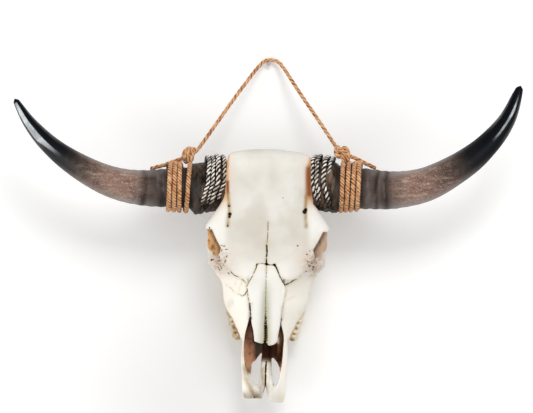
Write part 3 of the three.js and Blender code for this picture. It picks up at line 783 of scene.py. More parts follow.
# The torn spots below the eyes: short dashes from x, z along x, z.
TEARS = [
    (-43.3, -58.2, 2, -0.6), (-41.4, -59.3, 1.8, 0.9), (-39.6, -62, 2.1, 0.2), (-43.2, -63.9, 0.8, 1.6),
    (-42, -75.3, 1.6, -1.6), (-43.8, -77.7, 1.4, -1.8), (-44.9, -81, 1, -1.4), (-46.8, -78.6, 1.6, -0.8),
    (-42.6, -80.2, 1.2, 1.1), (-39.6, -73.9, 1, 1.8), (-45.3, -72.9, 1.8, 0.7), (-38.3, -69.1, 0.8, 1.4),
    (-36.5, -84, 1.6, -1.2), (41.5, -72, 1.7, -1.5), (38.4, -70.8, 1, -1.6), (43.3, -79.6, 1.6, 1),
    (36.2, -81.5, 1.8, 0.8), (46.6, -73.4, 1.2, 1.2),
]
# Brown stains: x, z knots, width, strength.
STAINS = [
    ([(-18.6, -172), (-17, -184), (-13.6, -191), (-10.4, -198)], 3, 0.9),
    ([(-22, -150), (-20.5, -162), (-19, -172)], 2.2, 0.5),
    ([(-17, -203), (-10, -200), (-4, -203)], 5.6, 1),
    ([(-1.2, -175), (-1, -190)], 2, 0.8),
    ([(-3, -192), (-3.4, -203)], 2.6, 0.6),
    ([(4.4, -190), (5, -197)], 1.8, 0.35),
    ([(8, -199), (16, -203)], 7, 0.3),
    ([(-33, -112), (-37, -118)], 3.2, 0.3),
    ([(39, -115), (35, -122)], 2.6, 0.3),
]
# Darker brown along where the forehead meets the rope bands.
BAND_JOINS = [
    ([(-38.6, 2), (-38.2, -8)], 1.5, 1),
    ([(37.6, 16), (38, 4), (38.6, -8)], 3, 0.9),
]
GROOVES = [
    ([(-38.2, -9), (-37.8, -12.4), (-36.8, -18.9), (-36, -27.5), (-37.2, -33.1), (-37.6, -39.8)], 2, 1.3),
    ([(35.9, -10), (35.6, -16), (35.3, -23.7), (35.9, -31.3), (36.6, -38.8)], 2, 1.3),
]


SHUT_REACHES = (2, 5, 10)  # how far out from the skull it is looked for whether a place is shut in


def mound(x, z, middle, size):
    """A smooth mound of height 1 over x and z."""
    return np.exp(-(((x - middle[0]) / size[0]) ** 2) - ((z - middle[1]) / size[1]) ** 2)


def ridge_along(x, z, line, width):
    """A smooth ridge of height 1 along a line of [x, z] knots."""
    return np.exp(-((line_distance(x, z, line) / width) ** 2))


def strongest(x, z, rows):
    """The strongest of some ridges, each a line, a width and a strength."""
    best = np.zeros_like(x)
    for line, width, strength in rows:
        best = np.maximum(best, strength * ridge_along(x, z, line, width))
    return best


def front_relief(x, z):
    """How far the front stands out beyond the plain shape, over x and z."""
    relief = 1.0 * np.exp(-((x / 5) ** 2)) * smoothstep(-12, 6, z) * smoothstep(34, 24, z)
    for side in (-1, 1):
        relief += 2.0 * mound(x, z, (side * 19, -84), (8, 9))
        relief += 1.2 * mound(x, z, (side * 17, -22), (11, 16))
    relief -= 1.4 * mound(x, z, (0, -48), (13, 14))

    # Each nasal bone is a long ridge, with a valley between them that deepens to the tip.
    tip = smoothstep(-92, -145, z)
    across = np.exp(-((np.abs(x - 0.3) / (2.2 + 3.4 * tip)) ** 1.6))
    relief -= (0.9 + 3.6 * tip) * across * smoothstep(-73, -82, z)

    cuts = [(line, 1.2 * width, depth) for line, _, depth, width in SEAMS]
    cuts += [(line, 0.7, 0.9) for line in tear_lines()] + GROOVES
    for line, width, depth in cuts:
        relief -= depth * ridge_along(x, z, line, width)
    for px, pz, radius, depth in PITS:
        relief -= depth * np.exp(-((((x - px) ** 2 + (z - pz) ** 2) / radius**2) ** 1.3))
    return relief


def tear_lines():
    return [[(x, z), (x + along, z + rise)] for x, z, along, rise in TEARS]


def engrave(volume):
    x, depth, z = volume.axes
    relief = front_relief(x[:, None], z[None, :]).astype(np.float32)
    front = smoothstep(27, 36, depth).astype(np.float32)
    volume.field -= relief[:, None, :] * front[None, :, None]


def roughen(points, normals):
    """The small unevenness of cast bone, most of it round the eyes."""
    x, _, z = points.T
    height = 0.22 * lumps(points, 7, 1) + 0.10 * lumps(points, 2.6, 2)
    by_eye = mound(np.abs(x), z, (47, -75), (8, 9))
    height += by_eye * (1.8 * lumps(points, 4.2, 3) + 1.3 * lumps(points, 2.3, 4))
    return points + normals * height[:, None]


def seam_strength(x, z, spread=1.0):
    """How dark the lines and holes of the front are, over x and z."""
    best = strongest(x, z, [(line, width * spread, dark) for line, dark, _, width in SEAMS])
    best = np.maximum(best, strongest(x, z, [(line, 0.5, 0.85) for line in tear_lines()]))
    for px, pz, radius, _ in PITS:
        best = np.maximum(best, np.exp(-((((x - px) ** 2 + (z - pz) ** 2) / (radius * 0.95) ** 2) ** 2)))
    return best


def near(shape, points, reach):
    """1 on a shape's surface and inside it, falling to 0 at reach."""
    x, depth, z = points.T
    return smoothstep(reach, reach * 0.3, shape[0](x, depth, z))


def nose_paint(points, normals):
    """Where the two browns of the nose lie: the wash inside it, and the painted shade of its depth; also the
    painted shade between the nasal bones.
    """
    x, depth, z = points.T
    middle = np.abs(x - NOSE_MIDDLE)
    inside = np.maximum(near(nasal_opening(), points, 0.9), near(nasal_hollow(), points, 1.2))
    tongue = (depth > 40) & (outline_distance(x, z, NASAL_OUTLINE) < 0.6) & (normals[:, 1] > -0.2)
    inside = inside * (1 - tongue)
    snout_bar = smoothstep(6.2, 4.6, middle) * smoothstep(-163, -174, z)
    nose = inside * smoothstep(-192, -172, z) * (1 - snout_bar)
    floor = (z < -130) * (depth < 42) * (depth > 22)
    beside = smoothstep(3.6, 0.4, outline_distance(x, z, NASAL_OUTLINE)) * smoothstep(-124, -132, z)
    # Painted shade in the depth of the nose: near its top, on its floor, on its right side and along the
    # edges of the nasal bones.
    deep = np.max([
        inside * smoothstep(-171, -162, z) * smoothstep(15, 9, middle),
        smoothstep(8, 6, middle) * smoothstep(-171, -163, z) * floor,
        0.8 * inside * smoothstep(5, 9, x) * smoothstep(-178, -165, z),
        0.6 * inside * smoothstep(-160, -138, z) * smoothstep(4, 0, x),
        0.85 * inside * beside,
    ], axis=0)
    # Painted shade: grey-green in the valley between the nasal bones.
    valley = np.exp(-((np.abs(x - 0.3) / 5) ** 2)) * smoothstep(-80, -118, z) * tongue
    return {"nose": nose, "deep": deep, "valley": valley}


def socket_paint(points, normals):
    """Where the eye sockets are painted, and where the shade under their rims lies."""
    x, depth, z = points.T
    wide = np.abs(x)
    mirrored = np.stack([wide, depth, z], -1)
    cut = plate(SOCKET_OUTLINE, 60, 100)
    socket = np.maximum(near(EYE_SOCKET, mirrored, 1.6), near(cut, mirrored, 0.8))
    socket = np.maximum(socket, near(SOCKET_POCKET, mirrored, 2.4)) * smoothstep(30, 34, wide)
    rim_shade = np.maximum(smoothstep(50, 42, wide), ridge_along(wide, z, SOCKET_OUTLINE[:3], 4.2))
    return {
        "socket": socket * smoothstep(0.93, 0.7, normals[:, 1] * (depth > 60)),
        "rim_shade": rim_shade,
        "right": smoothstep(-2, 2, x),
        "gum": near(ridge_of_teeth(), mirrored, 1.4) * smoothstep(-116, -123, z),
    }


def skull_paint(volume, points, normals):
    """How strong each paint, painted shade and painted light of the skull is, over its points."""
    x, depth, z = points.T
    wide = np.abs(x)
    facing = smoothstep(0.05, 0.5, normals[:, 1])
    front = facing * smoothstep(24, 30, depth)
    backwards = smoothstep(-0.05, -0.5, normals[:, 1]) * smoothstep(34, 26, depth)
    back_seams = strongest(x, z, [(line, width, dark) for line, dark, _, width in BACK_SEAMS])

    # How far out the forehead turns to the rope bands, and the level at which a wing meets the burr.
    corner = np.where(x < 0, 37.4, 34.6 + 3 * smoothstep(12, 28, z))
    wing = np.where(x < 0, -9.5 - 1.66 * (wide - 41.2), -14 - 1.03 * (wide - 39.3))
    beside_bands = smoothstep(-24, -8, z) * smoothstep(34, 25, z)
    # How shut in each place is, for the painted shade in recesses.
    shut = [np.clip(1 - volume.at(points + normals * reach) / reach, 0, 1.5) for reach in SHUT_REACHES]
    return {
        **nose_paint(points, normals),
        **socket_paint(points, normals),
        "shut": sum(shut) / len(SHUT_REACHES),
        "seam": np.maximum(seam_strength(x, z) * front, back_seams * backwards),
        "halo": seam_strength(x, z, 2.6) * front,
        # Painted shade inside the foramen and the throat.
        "hole_shade": np.maximum(near(FORAMEN, points, 0.9) * smoothstep(8, 4, z), near(THROAT, points, 0.9)),
        "band_join": strongest(x, z, BAND_JOINS),
        "by_horn": smoothstep(corner - 1.2, corner + 1.6, wide) * beside_bands,
        "edge": smoothstep(corner - 7, corner + 1, wide) * smoothstep(-40, -10, z),
        "banded": smoothstep(41.6, 43, wide) * smoothstep(-0.8, 0.8, z - wing) * smoothstep(36, 30, z),
        "groove": strongest(x, z, [(line, width * 0.8, 1) for line, width, _ in GROOVES]) * facing,
        "stain": strongest(x, z, STAINS) * facing * (depth < 45),
        "rough": mound(wide, z, (45, -74), (9, 12)),
        "blush": np.maximum(mound(wide, z, (33, -66), (11, 15)), mound(x, z, (-34.5, 8), (4, 14))),
        # Where the cheeks are painted brighter: cream paint lifted as painted light.
        "cheek": smoothstep(-78, -96, z) * smoothstep(14, 20, wide),
        "under": smoothstep(30, 18, depth),
        "forehead": smoothstep(-84, -50, z) * smoothstep(43, 35, wide) * (1 - 0.75 * smoothstep(-10, 26, z)),
    }


def outward_normals(volume, points):
    slope = volume.slope(points)
    return slope / np.maximum(np.linalg.norm(slope, axis=1), 1e-6)[:, None]


def make_skull(material):
    volume = sculpt_skull()
    points, quads = skin(volume)
    normals = outward_normals(volume, points)
    points = roughen(points, normals)
    longer_prong = smoothstep(2.5, 6, points[:, 0]) * smoothstep(-190, -204, points[:, 2])
    points[:, 2] -= 3.0 * longer_prong
    paint = skull_paint(volume, points, normals)
    skull = make_piece("skull", head_frame(points), quads, material, paint)
    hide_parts("cranium", "zygomatic_arch_left", "zygomatic_arch_right", "maxilla_left",
                "maxilla_right", "nasal_left", "nasal_right", "premaxilla_left", "premaxilla_right")
    return skull


# ---------------------------------------------------------------- teeth

LEFT_TEETH_CLEAN = 0.3  # the right row is painted much lighter than the left
TOOTH_FOOT, TOOTH_NECK = 1.6, 18  # the depths between which a lobe's rods run
CROWN_DEPTH = 25


def make_teeth(name, side, material):
    """The six molars of one side: each a pair of upright lobes that end at the wall."""
    front, rear, teeth = TOOTH_ROW["front"], TOOTH_ROW["rear"], TOOTH_ROW["teeth"]
    pitch = (rear - front) / teeth
    volume = Volume((14, -1, front - 3), (44, 27, rear + 3), TOOTH_VOXEL)
    for tooth in range(teeth):
        for lobe in (0.29, 0.71):
            z = front + pitch * (tooth + lobe)
            edge, width = float(row_edge(z)), float(row_width(z))
            outer, inner = edge - 2.6, edge - width + 2.6
            foot = [(outer, TOOTH_FOOT, z), (outer + 0.4, 19, z + 0.6), (outer - 1.6, 23.5, z + 1)]
            volume.add(bar(foot, [2.5, 2.4, 1.9]), 1)
            volume.add(bar([(inner, TOOTH_FOOT, z), (inner, TOOTH_NECK, z)], [2.5, 2.5]), 0.9)
            if inner < outer - 1:
                middle = (outer + inner) / 2
                volume.add(bar([(middle, TOOTH_FOOT, z), (middle, TOOTH_NECK, z)], [2.6, 2.6]), 1.2)
    row = [(float(row_edge(z)) - 3.2, 12, z) for z in np.linspace(front + 2, rear - 2, 9)]
    volume.add(bar(row, [2.4] * len(row), (1, 4, 1)), 0.8)
    bottom, top = front - 5, rear + 5
    volume.keep(plate([(0, bottom), (60, bottom), (60, top), (0, top)], 0, CROWN_DEPTH), 0.5)
    points, quads = skin(volume)
    normals = outward_normals(volume, points)
    points = points + normals * (0.12 * lumps(points, 1.6, 7))[:, None]
    # How shut in each place is, for the painted shade in recesses.
    shut = np.clip(1 - volume.at(points + normals * 2) / 2, 0, 1)
    points = points * [side, 1, 1]
    points[:, 1] = np.maximum(points[:, 1], 0)
    if side < 0:
        quads = quads[:, ::-1]
    clean = np.full(len(points), 1.0 if side > 0 else LEFT_TEETH_CLEAN)
    piece = make_piece(f"molars_{name}", head_frame(points), quads, material,
                       {"shut": shut, "clean": clean})
    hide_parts(f"teeth_{name}")


# ---------------------------------------------------------------- horns

# Each horn's middle line, with z from the level of the horn bases.
HORN_LINES = {
    "left": [
        [46, 46, -1.8], [52, 47, -2], [90, 53.5, -3], [118, 57.5, -3.3], [145, 60.5, 1.4], [175, 64, 14.8],
        [203, 67.5, 34.2], [225, 71, 57.4], [239.6, 75, 80.6],
    ],
    "right": [
        [46, 46, -1.8], [52, 47, -2], [90, 53.5, -4], [118, 58, -5.3], [147, 61.5, -0.6], [176, 65.5, 13.6],
        [203.5, 69.5, 34.4], [225, 73.5, 60.8], [238, 78, 92.8],
    ],
}
HORN_FULLNESS = {"left": 0.81, "right": 0.66}
HORN_ROOT_RADIUS, HORN_TIP_RADIUS, HORN_SWELL, BURR_RADIUS = 20.4, 2.4, 1.1, 23.4
BURR_END = {"left": 72, "right": 65}
DRY_BRUSH = {"left": 0.45, "right": 1.0}  # how much brown was brushed over each burr
# Where along a horn the varnish starts, is full, starts to go and is gone.
GLOSS = {"left": (150, 184, 210, 226), "right": (174, 194, 213, 228)}
# Dark rings: how far out and how wide to each side.
RINGS = {"left": [(103.5, 6), (119, 3.4)], "right": [(104.3, 2.2), (113.4, 3)]}
RING_PITCH = 9.5  # of the growth rings
HORN_SIDES = 96
HORN_INSET = 6.1  # the root that reaches inwards, under the rope band
ROOT_CAP = 3.2  # how much more of the root is of one thickness


def make_horn(name, side, material):
    """A horn with its burr, as one sweep of rings along its middle line."""
    knots = np.array(HORN_LINES[name], float) * [side, 1, 1] + [0, 0, 0.5]
    path, length = even_curve(knots, 0.9)
    share = np.linspace(0, 1, len(path))
    out = np.abs(path[:, 0])
    started = np.clip((length * share - HORN_INSET - ROOT_CAP) / (length - HORN_INSET - ROOT_CAP), 0, 1)
    blunt = np.sqrt(np.clip((1 - started) / 0.012 + 0.04, 0, 1))
    thick = (1 - started) ** HORN_FULLNESS[name]
    radius = (HORN_TIP_RADIUS + (HORN_ROOT_RADIUS - HORN_TIP_RADIUS) * thick) * blunt
    radius = radius + HORN_SWELL * np.sin(math.pi * started) ** 0.8
    burr = smoothstep(BURR_END[name] + 5, BURR_END[name] - 5, out)
    radius = radius + (BURR_RADIUS - radius) * burr
    points = tube(path, radius, HORN_SIDES).reshape(-1, 3)
    outward = points - np.repeat(path, HORN_SIDES, 0)
    outward /= np.maximum(np.linalg.norm(outward, axis=1), 1e-6)[:, None]
    along = np.repeat(share * length - HORN_INSET, HORN_SIDES)
    length = length - HORN_INSET
    out, burr, radius = (np.repeat(values, HORN_SIDES) for values in (out, burr, radius))

    # Growth rings near the base, lengthwise flutes, and the lumps of the burr.
    base = smoothstep(120, 25, along)
    rings = np.sin(along * 2 * math.pi / RING_PITCH + 1.5 * lumps(points, 30, 11)) * 0.32 * base
    uneven = 0.35 * lumps(points, 22, 12) * smoothstep(0, 30, length - along)
    flutes = 0.16 * lumps(points * [0.35, 1, 1], 3.2, 13) * base
    knobs = burr * 0.8 * lumps(points, 5, 14)
    points = points + outward * ((rings + uneven + flutes + knobs) * np.minimum(1, radius / 6))[:, None]

    # The burr sags below the rope band.
    sag = smoothstep(76, 70, out) * smoothstep(59, 66, out) * smoothstep(-0.3, -0.9, outward[:, 2])
    points[:, 2] -= (2.2 + 0.9 * lumps(points, 5, 15)) * sag

    comes, full, fades, gone = GLOSS[name]
    gloss = smoothstep(comes, full, along) * smoothstep(gone, fades, along)
    rings = sum(np.exp(-(((out - at) / half) ** 2)) for at, half in RINGS[name])
    # Painted sheen: grey on the faces that turn upwards and downwards, along the middle of the horn.
    edge = smoothstep(0.5, 0.97, np.abs(outward[:, 2]))
    edge = edge * smoothstep(30, 80, along) * smoothstep(175, 120, along)
    paint = {
        "along": np.append(along, [0, length]),
        "gloss": np.append(gloss, [0, gloss[-1]]),
        "ring": np.append(rings, [0, 0]),
        "edge": np.append(edge, [0, 0]),
        "burr": np.append(burr, [1, 0]),
        "dry": np.append(burr, [1, 0]) * DRY_BRUSH[name],
    }
    tip = path[-1] + (path[-1] - path[-2]) * 0.6
    points = np.vstack([points, path[0], tip])
    faces = closed_faces(len(path), HORN_SIDES)
    piece = make_piece(f"horn_{name}_shell", horn_frame(points), faces, material, paint)
    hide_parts(f"horn_{name}")
    return piece


# ---------------------------------------------------------------- rope bands and cord

# Each strand of a band: how far out it lies at each of the first six BAND_ANGLES (from the top forwards and
# round), how far it dives into the burr in front, its radius and its lay.
BAND_ANGLES = np.array([0, 0.2, 0.5, 0.72, 1, 1.5, 2]) * math.pi
BANDS = {
    "left": [[43.4, 41.6, 41.6, 48.4, 54, 45, 0, 2.3, 14], [49.2, 47.4, 47.6, 53.4, 58.5, 50, 0, 2.55, 15],
             [53.6, 51.8, 52.8, 58.4, 64, 55, 0.4, 2.05, 12], [58.2, 55.8, 57.2, 63, 69, 60, 0.3, 2.3, 13]],
    "right": [[46, 41.2, 40.8, 45.6, 52, 43.6, 0, 2.5, 15], [49.6, 46, 45.2, 49.4, 55, 48.8, 0.3, 2.4, 13],
              [57, 53.2, 51.6, 56.6, 61, 54.5, 0, 2.7, 14], [62.2, 58.2, 56.2, 58.6, 61, 60, 5, 2.2, 12.5]],
}
BAND_KNOTS = 20
BAND_REACH = 24.6  # the radius at the middle of the strands
# BAND_FADE: the levels where the dry brushing and its painted highlight fade out.
BAND_FADE = [-(HEAD_DROP + 21) / METRE, -(HEAD_DROP + 8) / METRE]  # the levels where the dry brushing ends


def boss_middle(side, out):
    """The middle of the horn's boss at a distance out, with z from the horn level."""
    return np.array([side * out, 46 + 0.15 * (out - 51.2), 2.5 - 0.2 * max(0, out - 51.2)])


def make_band(name, side, material):
    for number, (*outs, dive, radius, lay) in enumerate(BANDS[name]):
        knots = []
        for turn in np.arange(BAND_KNOTS) * 2 * math.pi / BAND_KNOTS:
            out = float(np.interp(turn, BAND_ANGLES, [*outs, outs[0]]))
            reach = BAND_REACH + 0.35 * (number % 2) - dive * max(0, math.sin(turn)) ** 2
            knots.append(boss_middle(side, out) + [0, reach * math.sin(turn), reach * math.cos(turn)])
        strand, _, _ = rope(f"band_{name}_{number}", knots, radius, -lay, material,
                            valley=0.56, closed=True, middle=lambda point: boss_middle(side, abs(point[0])))
        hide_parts(f"rope_band_{name}")


# Turns of cord: how far out they lie, at the top and at the bottom by turns, from the knot outwards.
TURNS = {
    "left": {"outs": [73.8, 78.4, 83.8, 84.6, 88.2, 89.8, 92.4, 95, 95], "reach": 22.6, "level": -2.2},
    "right": {"outs": [70.8, 68.4, 76.6, 73, 82, 78, 86.4, 83.4, 88], "reach": 22.3, "level": -1.5},
}
TURN_NODES = {"left": ["cord_left_inner", "cord_left_outer"], "right": ["cord_right_turns"]}
STEPS_A_TURN = 16


def make_turns(name, side, material):
    outs, reach, level = TURNS[name]["outs"], TURNS[name]["reach"], TURNS[name]["level"]

    def middle(out):
        return np.array([side * out, 48.9 + 0.17 * (out - 63), level + 0.05 * (out - 80)])

    knots = []
    for half_turns in np.arange(0, len(outs) - 1 + 1e-6, 2 / STEPS_A_TURN):
        out = float(np.interp(half_turns, np.arange(len(outs)), outs))
        angle = half_turns * math.pi
        radius = reach - 0.025 * (out - outs[0])
        knots.append(middle(out) + [0, radius * math.sin(angle), radius * math.cos(angle)])
    piece, _, _ = rope(f"turns_{name}", knots, TURN_RADIUS, TURN_LAY, material, valley=0.7,
                       middle=lambda point: middle(abs(point[0])))
    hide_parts(*TURN_NODES[name])


# From the knot on the left horn, over the nail, to the knot on the right horn: [x, depth, z] from the nail.
HANGING_ROUTE = [
    [-72.4, 52.5, -88.6], [-67.5, 50.5, -84], [-49.2, 37.8, -58.6], [-33.3, 27, -36], [-19.5, 17, -17.2],
    [-9.7, 9.8, -4.7], [-3.8, 5.6, 0.9], [2.2, 4, 2.2], [8.7, 5.6, 0.6], [14, 9.8, -5], [21.5, 16.5, -16.6],
    [33, 25.5, -34.4], [48.8, 37.4, -57.8], [63, 48.6, -79.5], [66.4, 50.6, -84.2],
]
TAILS = {
    "left": [[-80.4, 52.5, 25.4], [-88.5, 50, 22.8], [-98, 45, 19.2], [-105.6, 45, 17.2],
             [-112.2, 46.5, 15.4]],
    "right": [[75.2, 52.5, 28.2], [82.9, 49.5, 25.2], [90.4, 46, 21.4], [96.1, 45, 18.6], [102, 46, 15.8]],
}
TAIL_RADIUS = 2.0
HANGING_RADIUS = 1.85
KNOT_LOOPS = {
    "left": [
        [[-75.4, 54, 19.4], [-72.6, 56.6, 25.4], [-71.8, 55.6, 31], [-74.2, 54, 34.6], [-78, 54.6, 33],
         [-80.4, 55.4, 28.4], [-79.6, 54, 23.4], [-76.8, 51, 21]],
        [[-82, 51.6, 24.4], [-78.6, 56.8, 27], [-75.6, 58.2, 31.2], [-72.2, 55.4, 34.2],
         [-69.2, 51.6, 33.2]],
        [[-78.6, 52.6, 21.4], [-76.2, 55.8, 26], [-76.4, 56.6, 30.6], [-78.4, 53.2, 34.2]],
        [[-76, 53.4, 31.2], [-73.8, 54.4, 29.8], [-71.8, 53.2, 28]],
    ],
    "right": [
        [[71.2, 54, 21.6], [70.4, 56, 26.4], [66.6, 56.4, 26.8], [63.8, 54.8, 30.6], [65.2, 53, 34.6],
         [69, 54.4, 33.4], [70.6, 56.6, 29.6], [71.6, 54.8, 24]],
        [[64.6, 50.4, 37], [68.6, 55, 32.6], [72.6, 57, 30.6], [75.6, 54.4, 28], [79, 51, 26.6]],
        [[69.6, 52.6, 35.2], [73.6, 54, 34.4], [75.4, 55.4, 30.8], [75, 56, 26.4], [76, 53.6, 21.6]],
        [[64.2, 52, 32.4], [66.8, 53.2, 31.4], [69.8, 52.4, 29.8]],
        [[73.8, 50.4, 20], [73.6, 53, 23.4], [73.2, 54, 27]],
    ],
}


def make_hanging_cord(material):
    piece, path, length = rope("hanging_rope", HANGING_ROUTE, HANGING_RADIUS, CORD_LAY, material,
                               valley=0.64, place=nail_frame)
    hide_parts("hanging_cord")
    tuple(path[0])
    path[::4].tolist() + [path[-1].tolist()]


def make_knot(name, material):
    """One knot and the loose end of cord that leaves it."""
    piece, path, length = rope(f"tail_{name}", TAILS[name], TAIL_RADIUS, CORD_LAY, material,
                               valley=0.6)
    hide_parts(f"cord_tail_{name}")
    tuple(path[0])
    path[::3].tolist() + [path[-1].tolist()]
    for number, knots in enumerate(KNOT_LOOPS[name]):
        loop, _, _ = rope(f"knot_{name}_{number}", knots, CORD_RADIUS, CORD_LAY, material)
        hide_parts(f"knot_{name}")


# ---------------------------------------------------------------- materials

class Level:
    """A number that varies over a surface. Adding, taking away, multiplying and dividing make math nodes."""

    def __init__(self, graph, socket):
        self.graph, self.socket = graph, socket

    def __add__(self, other):
        return self.graph.math("ADD", self, other)

    def __sub__(self, other):
        return self.graph.math("SUBTRACT", self, other)

    def __mul__(self, other):
        return self.graph.math("MULTIPLY", self, other)

    def __truediv__(self, other):
        return self.graph.math("DIVIDE", self, other)


def srgb(red, green, blue):
    """A colour read off a screen, 0 to 255, as linear light."""
    shares = (red / 255, green / 255, blue / 255)
    return tuple(c / 12.92 if c <= 0.04045 else ((c + 0.055) / 1.055) ** 2.4 for c in shares)


class Graph:
    """Builds a material's nodes. colour is what its coats of paint, painted shade and painted light have come
    to; tints are screen colours.
    """

    def __init__(self, name):
        self.material = bpy.data.materials.new(name)
        self.material.use_nodes = True
        self.nodes = self.material.node_tree.nodes
        self.shader = self.nodes["Principled BSDF"]
        self.place = self.node("TexCoord", {})["Object"]
        self.colour = None

    def plug(self, socket, value):
        if isinstance(value, Level):
            value = value.socket
        if isinstance(value, bpy.types.NodeSocket):
            self.material.node_tree.links.new(value, socket)
        else:
            socket.default_value = (*value, 1) if socket.type == "RGBA" else value

    def node(self, kind, inputs, **settings):
        node = self.nodes.new(f"ShaderNode{kind}")
        for key, value in settings.items():
            setattr(node, key, value)
        for key, value in inputs.items():
            self.plug(node.inputs[key], value)
        return node.outputs

    def attribute(self, name):
        return Level(self, self.node("Attribute", {}, attribute_name=name)["Fac"])

    def direction(self, name):
        return self.node("Attribute", {}, attribute_name=name)["Vector"]

    def part(self, vector, axis):
        return Level(self, self.node("SeparateXYZ", {"Vector": vector})[axis])

    def noise(self, scale, detail=3, roughness=0.55, stretch=None, place=None):
        place = place or self.place
        if stretch:
            place = self.node("VectorMath", {0: place, 1: stretch}, operation="MULTIPLY")["Vector"]
        inputs = {"Vector": place, "Scale": scale, "Detail": detail, "Roughness": roughness}
        return Level(self, self.node("TexNoise", inputs)["Fac"])

    def math(self, operation, a, b):
        return Level(self, self.node("Math", {0: a, 1: b}, operation=operation)["Value"])

    def ramp(self, value, low, high, to_low=0, to_high=1):
        inputs = {"Value": value, "From Min": low, "From Max": high, "To Min": to_low, "To Max": to_high}
        return Level(self, self.node("MapRange", inputs, interpolation_type="SMOOTHSTEP")["Result"])

    def mix(self, share, a, b):
        a, b = (srgb(*tint) if isinstance(tint, tuple) else tint for tint in (a, b))
        return self.node("Mix", {"Factor": share, "A": a, "B": b}, data_type="RGBA")["Result"]

    def coat(self, share, tint):
        self.colour = self.mix(share, self.colour, tint)

    def colours(self, value, stops):
        node = self.nodes.new("ShaderNodeValToRGB")
        self.plug(node.inputs["Fac"], value)
        ramp = node.color_ramp
        ramp.elements[1].position = stops[-1][0]
        for position, _ in stops[1:-1]:
            ramp.elements.new(position)
        for element, (position, tint) in zip(ramp.elements, stops):
            element.position, element.color = position, (*srgb(*tint), 1)
        return node.outputs["Color"]

    def bump(self, height, distance, strength):
        inputs = {"Strength": strength, "Distance": distance, "Height": height}
        self.plug(self.shader.inputs["Normal"], self.node("Bump", inputs)["Normal"])

    def finish(self, roughness, specular=0.5, coat=0, coat_roughness=0.1, sheen=0):
        values = {"Base Color": self.colour, "Roughness": roughness, "Specular IOR Level": specular,
                  "Coat Weight": coat, "Coat Roughness": coat_roughness, "Sheen Weight": sheen}
        for key, value in values.items():
            self.plug(self.shader.inputs[key], value)
        return self.material


def bone_material():
    """Bone white under many thin coats of paint, painted shade and painted light, each kept to its place by
    one of the skull's attributes.
    """
    g = Graph("painted_bone")
    broad = g.noise(16)
    fine = g.noise(95, 4, 0.6)
    mottle = g.noise(230, 4, 0.7)
    streaks = g.noise(60, 3, 0.6, (1, 0.35, 1))
    hanging = g.noise(150, 3, 0.6, (1, 0.5, 0.3))

    def wash(name, tint, low, high=1, texture=fine):
        """A coat of paint that a noise makes thinner and thicker, between two strengths."""
        g.coat(g.attribute(name) * g.ramp(texture, 0.3, 0.66, low, high), tint)

    g.colour = g.mix(g.ramp(broad, 0.35, 0.7), (237, 235, 229), (226, 222, 212))
    # The forehead darker and greyer; the second, blotchy coat is painted soft shade.
    wash("forehead", (207, 202, 191), 0.5, 1, broad)
    wash("forehead", (202, 194, 180), -0.3, 0.6, g.noise(34, 2, 0.5))
    wash("edge", (244, 222, 202), 0.2, 0.7, broad)
    # Cream paint on the cheeks, brightened as painted light.
    wash("cheek", (255, 249, 236), 0.8, 1, broad)
    wash("blush", (222, 208, 196), 0.2, 0.75, broad)
    wash("rough", (232, 212, 194), 0.2, 0.8)
    wash("rough", (184, 152, 128), -0.2, 0.95, mottle)

    # Brown washes: against the rope bands, in the eye sockets, in the grooves and in the nose; painted shade
    # under the socket rims, in the depth of the nose, between the nasal bones and inside the holes behind.
    wash("by_horn", g.mix(g.ramp(broad, 0.4, 0.62), (204, 146, 98), (240, 192, 144)), 0.7)
    g.coat(g.attribute("band_join"), (134, 72, 32))
    wash("groove", (166, 140, 92), 0.45, 0.95)
    socket = g.mix(g.ramp(hanging, 0.4, 0.58), (136, 76, 34), (228, 180, 124))
    socket = g.mix(g.attribute("right") * 0.72, socket, (222, 198, 176))
    # Painted shade under the sockets' rims.
    socket = g.mix(g.ramp(g.attribute("rim_shade"), 0.3, 1, 0, 0.7), socket, (96, 52, 22))
    g.coat(g.attribute("socket"), socket)
    nose = g.mix(g.ramp(streaks, 0.4, 0.62), (84, 40, 16), (206, 150, 114))
    g.coat(g.ramp(g.attribute("nose") + fine * 0.5, 0.65, 1.15), nose)
    wash("stain", g.mix(g.ramp(streaks, 0.35, 0.65), (116, 88, 50), (178, 156, 114)), 0.6)
    # Painted shade in the valley between the nasal bones.
    g.coat(g.attribute("valley") * 0.8, (170, 172, 152))
    wash("halo", (204, 182, 124), 0, 0.75)
    # Painted shade in the depth of the nose.
    g.coat(g.attribute("deep"), g.mix(g.ramp(streaks, 0.3, 0.7), (24, 9, 2), (58, 26, 10)))
    g.coat(g.attribute("gum"), g.mix(g.ramp(streaks, 0.4, 0.62), (142, 108, 62), (222, 198, 152)))
    wash("under", (214, 194, 158), 0.15, 0.55)
    g.coat(g.attribute("banded"), g.mix(g.ramp(fine, 0.35, 0.6), (34, 20, 14), (84, 50, 36)))
    # Painted shade inside the holes behind.
    g.coat(g.attribute("hole_shade") * 0.85, (92, 70, 54))

    # Painted shade in whatever is shut in, and dark paint in the torn spots and in the seams, which break up
    # here and there.
    g.coat(g.ramp(g.attribute("shut") + fine * 0.25, 0.62, 1.15) * 0.7, (122, 88, 56))
    torn = g.ramp(g.noise(330, 3, 0.6), 0.42, 0.34) * g.ramp(g.attribute("rough"), 0.35, 0.9)
    g.coat(torn * 0.55, (104, 78, 58))
    broken = g.ramp(g.noise(420, 2), 0.3, 0.55, 0.35)
    g.coat(g.ramp(g.attribute("seam") * broken, 0.2, 0.62), (46, 34, 22))

    height = fine * 0.6 + g.noise(700) * 0.4 + mottle * 5 * g.attribute("rough")
    g.bump(height, 0.00035, 0.5)
    return g.finish(g.ramp(broad, 0.3, 0.7, 0.45, 0.62), specular=0.28)


